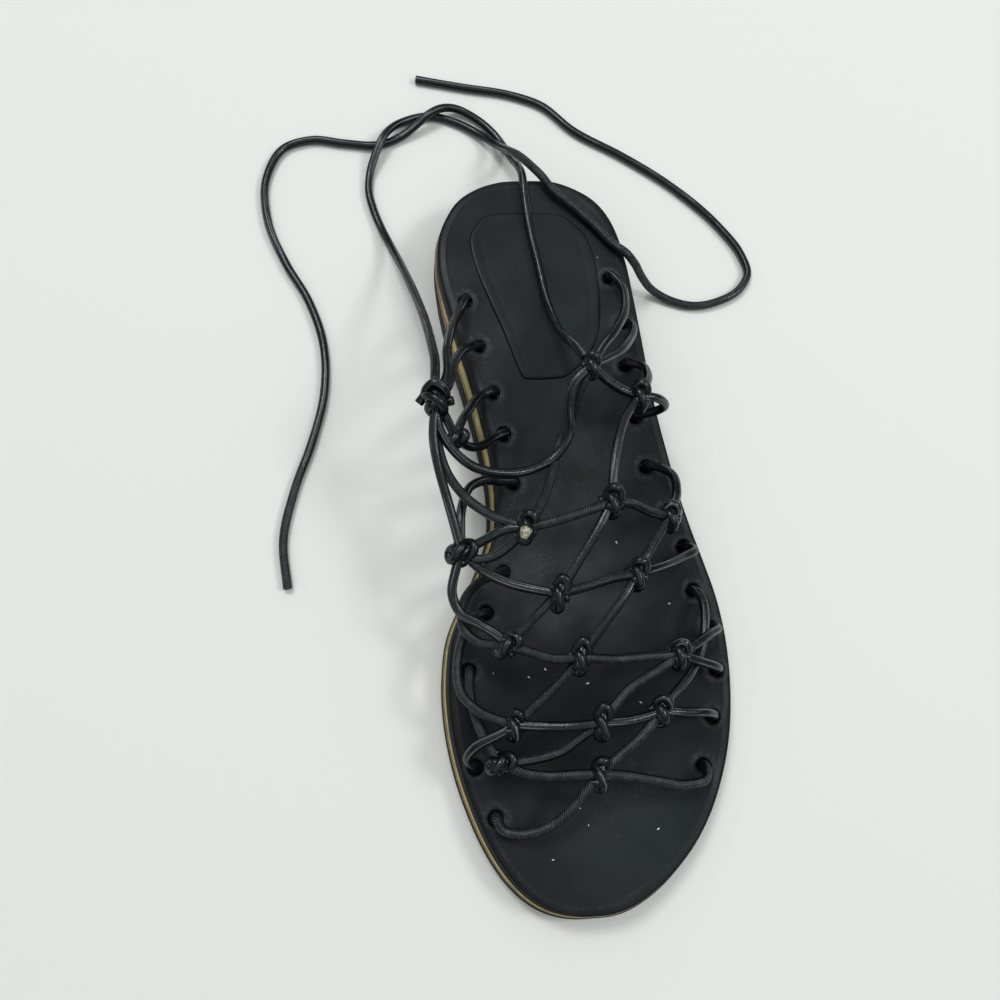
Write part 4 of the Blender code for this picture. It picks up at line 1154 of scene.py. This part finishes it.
@dataclass(frozen=True)
class SoleRubber:
    """Matt black rubber with fine buffing marks and pale dust."""

    colour: Triple = (0.0190, 0.0205, 0.0215)
    dusty: Triple = (0.050, 0.049, 0.047)
    buffing_depth: float = 0.00008

    def material(self, name: str) -> Material:
        """Builds black rubber with drawn-out buffing marks.

        Args:
            name: The material's name.

        Returns:
            The finished material.
        """
        made, tree, shader, place = new_material(name)
        drawn_out = node(tree, "ShaderNodeMapping", {0: place, 3: (1.0, 1.0, 0.3)}).outputs[0]
        buffed = noise(drawn_out, 1500.0, 3.0, 0.6)
        dust = window(noise(place, 60.0, 4.0, 0.65), 0.48, 0.75)
        fill(shader, {"Base Color": blend(times(dust, 0.7), self.colour, self.dusty),
                      "Roughness": window(buffed, 0.2, 0.8, (0.55, 0.8)),
                      "Normal": bump(buffed, 0.5, self.buffing_depth)})
        return made


@dataclass(frozen=True)
class LintFibre:
    """Off-white lint."""

    colour: Triple = (0.72, 0.72, 0.68)
    shade: Triple = (0.5, 0.5, 0.47)

    def material(self, name: str) -> Material:
        """Builds off-white lint of uneven tone.

        Args:
            name: The material's name.

        Returns:
            The finished material.
        """
        made, _, shader, place = new_material(name)
        colour = blend(noise(place, 2500.0, 2.0), self.shade, self.colour)
        fill(shader, {"Base Color": colour, "Roughness": 0.9})
        return made


# The sandal's pieces

def place_piece(piece: Piece, slot: str, *nodes: str) -> Piece:
    """Puts a finished piece on the sandal's one body and in place of its solids, and reports it.

    Args:
        piece: The piece.
        slot: Its material slot; not used.
        nodes: The solids that it stands for.

    Returns:
        The same piece.
    """
    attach(piece, "root")
    if nodes:
        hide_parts(*nodes)
    LOG.info("%s: %d faces", piece.name, len(piece.data.polygons))
    return piece


@dataclass
class Footbed:
    """The black footbed with its rounded rim, dished top and cord holes."""

    shape: SandalShape
    finish: SmoothLeather
    rim_width: float = 0.0024
    rim_drop: float = 0.0011
    hole_radius: float = 0.0022
    lip_at: float = 0.0036
    lip_width: float = 0.0011
    lip_height: float = 0.00028
    dip_width: float = 0.0026
    dip_share: float = 0.8
    ripple: float = 0.00016
    pad_seat: float = 0.0009
    pad_margin: float = 0.0012
    crease: float = 50.0

    def relief(self, x: Array, y: Array) -> Array:
        """The top's height: dished, with ripples, a raised lip round each hole and a seat for the pad.

        The ripples are products of two sines. The lip is a bell curve of the distance from the hole,
        with a shallow dip nearer in.

        Args:
            x: Places on X.
            y: Places on Y.

        Returns:
            The heights.
        """
        ripples = self.ripple * np.sin(x * 210.0 + y * 95.0 + 0.6) * np.sin(y * 160.0 - x * 70.0)
        gap = nearest(x, y, self.shape.holes())
        lip = bell(gap - self.lip_at, self.lip_width) - self.dip_share * bell(gap, self.dip_width)
        return self.shape.top(x, y) + ripples + self.lip_height * lip - self.pad_seat * self.under_pad(x, y)

    def under_pad(self, x: Array, y: Array) -> Array:
        """1 well inside the heel pad's outline and 0 outside it.

        Args:
            x: Places on X.
            y: Places on Y.

        Returns:
            The shares, from 0 to 1.
        """
        share = (self.shape.along_at(y) - PAD_SPAN[0]) / (PAD_SPAN[1] - PAD_SPAN[0])
        medial, lateral = self.shape.edges(np.clip(share, 0.0, 1.0), PAD_OUTLINE)
        room = np.minimum(np.minimum(x - medial, lateral - x), np.minimum(share, 1.0 - share) * 0.06)
        return smooth_step((room - self.pad_margin) / self.pad_margin)

    def build(self) -> Piece:
        """Builds the footbed and cuts its holes.

        Returns:
            The finished piece.
        """
        shape = self.shape
        angles = np.linspace(0.0, 0.5 * math.pi, 8)
        depth = self.rim_drop * (1.0 - np.sin(angles)) / shape.footbed
        burnished = ((0.0003, 0.0, 0.00005), (0.0006, 0.0, 0.00004), (0.0010, 0.0))
        side = ((0.0003, 1.0), (0.0, 0.93), (0.0, 0.6), *zip(self.rim_width * (1.0 - np.cos(angles)), depth),
                *((self.rim_width + inset, *rest) for inset, *rest in burnished))
        grid = shell(sole_ring(shape), Profile.of(side, 44), self.relief,
                     shape.above(shape.outsole + shape.midsole + 2.0 * shape.gap))
        material = self.finish.material("footbed_leather")
        piece = grids_to_object("footbed_leather_top", [grid], material, self.crease)
        self.cut_holes(piece)
        self.mark_wear_and_sheen(piece)
        return place_piece(piece, "footbed_leather", "footbed")

    def clouds(self, x: Array, y: Array, rows: Array, half_x: Array, half_y: Array) -> Array:
        """The highest of some soft clouds: amount * exp(-(dx / half_x)^2 - (dy / half_y)^2).

        Args:
            x: Places on X.
            y: Places on Y.
            rows: Each cloud's along and across, with its amount last.
            half_x: The clouds' half widths.
            half_y: The clouds' half lengths.

        Returns:
            The value at each place.
        """
        across = (x[:, None] - rows[:, 1] * self.shape.ball) / half_x
        along = (y[:, None] - self.shape.y_at(rows[:, 0])) / half_y
        return (rows[:, -1] * np.exp(-(across**2) - along**2)).max(axis=1)

    def mark_wear_and_sheen(self, piece: Piece) -> None:
        """Marks lighter clouds of wear and painted sheen, and rubbed leather with painted highlights: listed
        clouds, a painted highlight ring at each hole's lip and a painted highlight line along the rim.

        Args:
            piece: The footbed, whose mesh gets the marks.
        """
        shape, mesh = self.shape, piece.data
        co = np.empty(len(mesh.vertices) * 3)
        mesh.vertices.foreach_get("co", co)
        x, y, _ = co.reshape(-1, 3).T
        rows = np.array(RUBBED_AND_SHEEN)
        rubbed_and_highlight = self.clouds(x, y, rows, rows[:, 2] * shape.ball, rows[:, 2] * shape.ball)
        gap = nearest(x, y, shape.holes())
        edge = nearest(x, y, sole_ring(shape).points)
        # Painted highlight on the raised lip round each hole
        rubbed_and_highlight = np.maximum(rubbed_and_highlight, 0.80 * bell(gap - self.lip_at, 0.0008))
        # Painted highlight line where the rounded rim meets the top
        rubbed_and_highlight = np.maximum(rubbed_and_highlight, 0.40 * bell(edge - self.rim_width, 0.0005))
        # Lighter clouds, partly worn leather and partly painted sheen
        rows = np.array(WEAR_AND_SHEEN)
        haze = self.clouds(x, y, rows, rows[:, 3] * shape.ball, rows[:, 2] * shape.length)
        add_mark(mesh, "rubbed_and_highlight", rubbed_and_highlight)
        add_mark(mesh, "haze", haze)

    def cut_holes(self, piece: Piece) -> None:
        """Cuts a round hole with a softened mouth at each cord, by a boolean that is applied at once.

        The cutter is turned: each row is a share of the hole's radius and a height from the rim.

        Args:
            piece: The footbed, which gets a new mesh.
        """
        sides = 28
        turned = np.array([(0.0, -0.006), (1.0, -0.006), (1.0, -0.0010), (1.10, -0.0003), (1.42, 0.0002),
                           (1.6, 0.002), (0.0, 0.002)])
        angle = np.arange(sides) * (2.0 * math.pi / sides)
        ring = np.stack([np.cos(angle), np.sin(angle)], axis=1)
        grids = []
        for middle in self.shape.holes():
            flat = middle[:2] + ring[None] * (turned[:, 0] * self.hole_radius)[:, None, None]
            height = (turned[:, 1] + middle[2] + 0.0001)[:, None, None]
            height = np.broadcast_to(height, flat.shape[:2] + (1,))
            grids.append(Grid(np.concatenate([flat, height], axis=-1), turned[:, 1]))
        cutter = grids_to_object("hole_cutter", grids, piece.data.materials[0])
        modifier = piece.modifiers.new("holes", "BOOLEAN")
        modifier.operation = "DIFFERENCE"
        modifier.solver = "EXACT"
        modifier.object = cutter
        result = bpy.data.meshes.new_from_object(piece.evaluated_get(bpy.context.evaluated_depsgraph_get()))
        piece.modifiers.clear()
        piece.data = result
        result.set_sharp_from_angle(angle=math.radians(self.crease))
        bpy.data.objects.remove(cutter, do_unlink=True)


@dataclass
class HeelPad:
    """The thin pad let into the heel of the footbed, with a line pressed in along its edge."""

    shape: SandalShape
    finish: SmoothLeather
    proud: float = 0.0006
    thickness: float = 0.0012
    haze: float = 0.16
    shade_from: float = 0.004
    shade_fade: float = 0.030
    pressed: Triple = (0.130, 0.045, 0.00003)

    def build(self) -> Piece:
        """Builds the pad: a soft radius at its edge, then the flat top with the pressed line.

        Returns:
            The finished piece.
        """
        side = ((0.0, 1.0), (0.0, 0.50), (0.0001, 0.30), (0.0003, 0.14), (0.0006, 0.05), (0.0010, 0.01),
                (0.0013, 0.0))
        grid = shell(pad_ring(self.shape), Profile.of(side, 70, self.pressed),
                     lambda x, y: self.shape.top(x, y) + self.proud,
                     lambda x, y: self.shape.top(x, y) + self.proud - self.thickness)
        # Painted shade down the pad's rounded edge, stronger towards the toe
        towards_toe = smooth_step((self.shade_from - grid.points[..., 1]) / self.shade_fade)
        at_edge = smooth_step(grid.marks["depth"] / 0.12)[:, None]
        grid.marks["seam_dirt"] = at_edge * (0.2 + 0.8 * towards_toe)
        # An even touch of the lighter worn look and painted sheen over the whole pad
        grid.marks["haze"] = np.full(len(grid.along), self.haze)
        material = self.finish.material("heel_pad_leather")
        piece = grids_to_object("heel_pad_leather_top", [grid], material, 60.0)
        return place_piece(piece, "heel_pad_leather", "heel_pad")


@dataclass
class LowerSole:
    """The layers under the footbed: the stacked midsole, the outsole and the low heel."""

    shape: SandalShape
    leather: StackedEdge
    rubber: SoleRubber
    chamfer: float = 0.0006

    def midsole(self) -> Piece:
        """Two stacked leather layers with slightly rounded corners and a groove between them.

        Returns:
            The finished piece.
        """
        shape = self.shape
        side = ((0.0004, 1.0), (0.0001, 0.97), (0.0, 0.90), (0.0, 0.62), (0.0001, 0.56), (0.0005, 0.53),
                (0.0008, 0.50), (0.0005, 0.46), (0.0004, 0.40), (0.0004, 0.10), (0.0005, 0.03),
                (0.0008, 0.0))
        ring, base = sole_ring(shape, shape.midsole_step), shape.outsole + shape.gap
        grid = shell(ring, Profile.of(side, 5), shape.above(base + shape.midsole), shape.above(base))
        step = np.linalg.norm(ring.points - sole_ring(shape).points, axis=1)
        grid.marks["beyond_footbed"] = step[None] - grid.marks["inward"]
        piece = grids_to_object("midsole_layers", [grid], self.leather.material("midsole_leather"), 50.0)
        return place_piece(piece, "midsole_leather", "midsole")

    def outsole(self) -> Piece:
        """The outsole, with a soft upper edge and a chamfer round its underside.

        Returns:
            The finished piece.
        """
        shape, chamfer = self.shape, self.chamfer
        low = 1.0 - chamfer / shape.outsole
        side = ((chamfer, 1.0), (0.0001, low + 0.03), (0.0, low - 0.05), (0.0, 0.12), (0.0001, 0.03),
                (0.0003, 0.0))
        ring = sole_ring(shape, shape.midsole_step, shape.outsole_step)
        grid = shell(ring, Profile.of(side, 5), shape.above(shape.outsole), shape.above(0.0))
        piece = grids_to_object("outsole_rubber_sheet", [grid], self.rubber.material("outsole_rubber"), 50.0)
        return place_piece(piece, "outsole_rubber", "outsole")

    def heel(self) -> Piece:
        """The heel: a straight taper to the floor with a seam round the middle.

        Returns:
            The finished piece.
        """
        shape, taper = self.shape, self.shape.heel_taper
        side = ((taper + 0.0004, 1.0), (taper, 0.96), (0.55 * taper, 0.53), (0.5 * taper + 0.0003, 0.50),
                (0.5 * taper, 0.47), (0.0, 0.04), (0.0002, 0.0))
        ring = sole_ring(shape, shape.midsole_step, 0.0, shape.heel_length / shape.length, 90)
        grid = shell(ring, Profile.of(side, 4), shape.above(-shape.gap), lambda x, y: np.zeros_like(x))
        piece = grids_to_object("heel_block", [grid], self.rubber.material("heel_rubber"))
        return place_piece(piece, "heel_rubber", "heel")


@dataclass
class CordNet:
    """The net of round cord: runs between knots and holes, and the turns of cord round each knot."""

    shape: SandalShape
    finish: CordLeather
    spacing: float = 0.0011
    sides: int = 14
    wrap_radius: float = 0.00146
    wrap_spacing: float = 0.0006
    knot_slope: float = 0.16
    knot_variation: float = 0.05
    core_length: float = 0.72
    core_width: float = 0.64
    core_out: Pair = (0.0003, 0.0021)
    uneven: float = 0.02
    uneven_pace: float = 310.0

    def end_points(self, name: str) -> list[Array]:
        """Points of a run's end, outermost first: a knot's middle, or straight up out of a hole.

        Args:
            name: The name of a knot or a hole.

        Returns:
            The points, one array each.
        """
        if name in KNOTS:
            return [self.shape.centre(name)]
        mouth = self.shape.hole(name)
        depth = self.shape.footbed - self.shape.gap
        return [mouth + np.array([0.0, 0.0, rise]) for rise in (-depth, 0.0, 0.6 * self.shape.cord)]

    def run_tube(self, run: Run) -> Grid:
        """The tube of one run, a little uneven in thickness as cut leather is.

        Args:
            run: The run's row of the table.

        Returns:
            The tube's grid.
        """
        between = np.reshape(run.between, (-1, 3)) / 1000.0
        points = self.end_points(run.start) + [self.shape.point(*row) for row in between]
        path = smooth_route(np.array(points + self.end_points(run.end)[::-1]), self.spacing)
        travelled = np.arange(len(path)) * self.spacing
        phase = 7.0 * (sum(map(ord, run.start + run.end)) % 11)
        wave = np.sin(travelled * self.uneven_pace + phase)
        radius = 0.5 * self.shape.cord * (1.0 + self.uneven * wave)
        return tube(path, radius, self.sides, {"ribbing": run.look.value, "seam": run.seam, "worn": 0.0})

    def knot_axes(self, name: str) -> Array:
        """A knot's own axes as rows: across, along and out, with its heel side tipped up a little.

        Args:
            name: The knot's name.

        Returns:
            The three unit axes.
        """
        turn = math.radians(KNOTS[name].turn)
        across = np.array([math.cos(turn), -math.sin(turn), 0.0])
        along = np.array([math.sin(turn), math.cos(turn), math.tan(self.knot_slope) * math.cos(turn)])
        along /= np.linalg.norm(along)
        return np.stack([across, along, np.cross(across, along)])

    def core_tube(self, name: str) -> Grid:
        """The cord inside a knot's turns: a short thick tube, with a bare lower half where it is worn.

        Args:
            name: The knot's name.

        Returns:
            The tube's grid.
        """
        wear, share = KNOTS[name].wear, np.linspace(-1.0, 1.0, 13)
        half_width, half_length, _ = self.shape.knot_half(name) * (self.core_width, self.core_length, 1.0)
        _, along, up = self.knot_axes(name)
        out = smooth_step((0.30 - share) / 0.5) * (self.core_out[0] + self.core_out[1] * wear)
        path = self.shape.centre(name) + share[:, None] * half_length * along + out[:, None] * up
        radius = half_width * np.sqrt(1.0 - 0.72 * share**2) * (1.0 - 0.10 * wear)
        worn = 1.25 * wear * smooth_step((0.15 - share) / 0.6)
        return tube(path, radius, self.sides, {"ribbing": 0.0, "seam": 0.3, "worn": worn})

    def wrap_tube(self, name: str, seed: int) -> Grid:
        """The turns of cord round a knot, a smooth curve through the wrap's points in the knot's axes.

        Args:
            name: The knot's name.
            seed: The seed of this knot's small changes.

        Returns:
            The tube's grid.
        """
        rows = np.array(WRAP) + np.random.default_rng(seed).normal(0.0, self.knot_variation, (len(WRAP), 3))
        room = self.shape.knot_half(name) - self.wrap_radius * np.array([1.0, 0.6, 1.0])
        path = smooth_route(self.shape.centre(name) + rows * room @ self.knot_axes(name), self.wrap_spacing)
        return tube(path, self.wrap_radius, 12, {"ribbing": 0.0, "seam": 0.3, "worn": 0.0})

    def build(self) -> Piece:
        """Builds the whole net as one piece.

        Returns:
            The finished piece.
        """
        grids = [self.run_tube(run) for run in RUNS]
        grids += [self.wrap_tube(name, seed) for seed, name in enumerate(KNOTS)]
        grids += [self.core_tube(name) for name in KNOTS]
        piece = grids_to_object("cord_net", grids, self.finish.material("cord_leather"), 60.0)
        return place_piece(piece, "cord_leather", "cord_upper")


@dataclass
class FreeTie:
    """One free tie, from just off its knot along the heel and the floor.

    ribbed is the stretch of the tie with its ribs upwards, as shares of its length.
    """

    shape: SandalShape
    finish: Material
    name: str
    knot: str
    route: Rows
    length: float
    ribbed: Pair
    floor_gap: float = 0.0002
    start_gap: float = 0.0006
    spacing: float = 0.0015
    uneven: float = 0.015
    uneven_pace: float = 260.0

    def path(self) -> Array:
        """The tie's centre line, a smooth curve through its route.

        Returns:
            The points, from the knot to the free end.
        """
        shape, knot = self.shape, KNOTS[self.knot]
        along, across, lift, over = np.array([(*row, 0.0, 0.0)[:4] for row in self.route]).T
        low = 0.5 * shape.cord + self.floor_gap
        height = low + lift * float(shape.rim(np.float64(0.0))) + over * shape.cord
        points = np.stack([across * shape.ball, shape.y_at(along), height], axis=1)
        centre, turn = shape.centre(self.knot), math.radians(knot.turn)
        away = (points[0] - centre) / np.linalg.norm(points[0] - centre)
        spin = np.array([[math.cos(turn), -math.sin(turn), 0.0], [math.sin(turn), math.cos(turn), 0.0],
                         [0.0, 0.0, 1.0]])
        skin = 1.0 / np.linalg.norm((spin @ away) / shape.knot_half(self.knot))
        points[0] = centre + away * (skin + self.start_gap)
        return smooth_route(points, self.spacing)

    def build(self) -> Piece:
        """Returns:
            The finished piece.
        """
        path = self.path()
        share = np.linspace(0.0, 1.0, len(path))
        wave = np.sin(share * self.length * self.uneven_pace)
        radius = 0.5 * self.shape.cord * (1.0 + self.uneven * wave)
        starts = smooth_step((share - self.ribbed[0]) / 0.04)
        ends = smooth_step((self.ribbed[1] - share) / 0.06)
        grid = tube(path, radius, 16, {"ribbing": 0.9 * starts * ends, "seam": 0.08, "worn": 0.0})
        piece = grids_to_object(self.name + "_cord", [grid], self.finish, 60.0)
        return place_piece(piece, "cord_leather", self.name)


@dataclass
class LintSpecks:
    """Specks of lint lying on the footbed, with their least and greatest reach in metres."""

    shape: SandalShape
    finish: LintFibre
    reach: Pair = (0.00022, 0.00045)

    def build(self) -> Piece:
        """Builds each speck as a flat uneven pebble of a few faces: radius * (1 + waves) round it.

        Returns:
            The finished piece.
        """
        dice, sides = np.random.default_rng(11), 7
        angle = np.arange(sides) * (2.0 * math.pi / sides)
        scale = np.array([0.0, 1.0, 0.8, 0.0])[:, None]
        grids = []
        for along, across in LINT:
            x, y = across * self.shape.ball, self.shape.y_at(along)
            low = float(self.shape.top(np.array([x]), np.array([y]))[0])
            reach = dice.uniform(*self.reach)
            reach = reach * (1.0 + 0.5 * np.sin(angle * 2.0 + dice.uniform(0.0, 6.0)))
            height = np.array([-0.0001, 0.0, 0.00022, 0.0003])[:, None] + low
            points = np.stack([x + scale * reach * np.cos(angle), y + scale * reach * np.sin(angle),
                               np.broadcast_to(height, (4, sides))], axis=-1)
            grids.append(Grid(points, np.arange(4) * 0.0002))
        piece = grids_to_object("lint_specks", grids, self.finish.material("lint"))
        return place_piece(piece, "footbed_leather")


@dataclass
class Studio:
    """The plain pale floor, the soft lights and the camera."""

    eye: Triple = (-0.0505, -0.1666, 0.3127)
    aim: Triple = (-0.0184, -0.0830, 0.0)
    upwards: Triple = (0.0599, 0.9982, 0.0)
    lens: float = 33.5
    lit: Triple = (0.0, -0.1, 0.02)
    pale: Triple = (0.716, 0.726, 0.709)
    sky: Triple = (0.97, 1.0, 0.98)
    sky_strength: Pair = (0.14, 0.88)
    gamma: float = 0.9

    def camera(self) -> None:
        """The camera: it stands over the toes, looks down at the shoe and keeps the heel at the top."""
        data = bpy.data.cameras.new("camera")
        data.lens = self.lens
        data.sensor_width = 36.0
        data.clip_start = 0.01
        made = add_object("camera", data)
        back = (Vector(self.eye) - Vector(self.aim)).normalized()
        right = Vector(self.upwards).cross(back).normalized()
        axes = Matrix((right, back.cross(right), back)).transposed().to_4x4()
        made.matrix_world = Matrix.Translation(Vector(self.eye)) @ axes
        bpy.context.scene.camera = made

    def light(self, name: str, place: Triple, size: float, power: float) -> None:
        """A square soft light that faces the shoe.

        Args:
            name: The light's name.
            place: Where it stands.
            size: Its side in metres.
            power: Its power in watts.
        """
        data = bpy.data.lights.new(name, "AREA")
        data.size = size
        data.energy = power
        turn = (Vector(place) - Vector(self.lit)).normalized().to_track_quat("Z", "Y").to_matrix()
        add_object(name, data).matrix_world = Matrix.Translation(Vector(place)) @ turn.to_4x4()

    def floor(self) -> None:
        """A wide plain pale floor."""
        mesh = bpy.data.meshes.new("floor")
        mesh.from_pydata([(-3, -3, 0), (3, -3, 0), (3, 3, 0), (-3, 3, 0)], [], [(0, 1, 2, 3)])
        material, _, shader, _ = new_material("pale_floor")
        fill(shader, {"Base Color": self.pale, "Roughness": 0.9})
        mesh.materials.append(material)
        add_object("floor", mesh)

    def build(self) -> None:
        """Sets up the floor, the lights, the sky and the camera."""
        self.floor()
        self.light("key_light", (-0.45, 0.68, 1.56), 0.45, 10.8)
        self.light("fill_light", (1.05, -0.10, 1.26), 0.36, 6.8)
        world = bpy.data.worlds.new("studio")
        world.use_nodes = True
        tree = world.node_tree
        way = tree.nodes.new("ShaderNodeTexCoord").outputs["Generated"]
        height = node(tree, "ShaderNodeSeparateXYZ", {0: way}).outputs[2]
        strength = window(height, 0.20, 0.85, self.sky_strength)
        fill(tree.nodes["Background"], {"Color": self.sky, "Strength": strength})
        scene = bpy.context.scene
        scene.world = world
        scene.view_settings.view_transform = "Standard"
        scene.view_settings.gamma = self.gamma
        self.camera()


def main() -> None:
    """Builds every piece of the sandal and the studio round it."""
    logging.basicConfig(level=logging.INFO, format="%(name)s %(message)s")
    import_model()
    shape = SandalShape()
    effects = Effects()
    Studio().build()
    leather = SmoothLeather(effects)
    net = CordNet(shape, CordLeather(effects)).build()
    cord = net.data.materials[0]
    FreeTie(shape, cord, "tie_lateral", "ankle_lateral", TIE_LATERAL_ROUTE, 0.393, (0.88, 1.2)).build()
    FreeTie(shape, cord, "tie_medial", "ankle_medial", TIE_MEDIAL_ROUTE, 0.488, (0.40, 0.66)).build()
    Footbed(shape, leather).build()
    HeelPad(shape, leather).build()
    lower = LowerSole(shape, StackedEdge(), SoleRubber())
    for build in (lower.midsole, lower.outsole, lower.heel):
        build()
    LintSpecks(shape, LintFibre()).build()


if __name__ == "__main__":
    main()
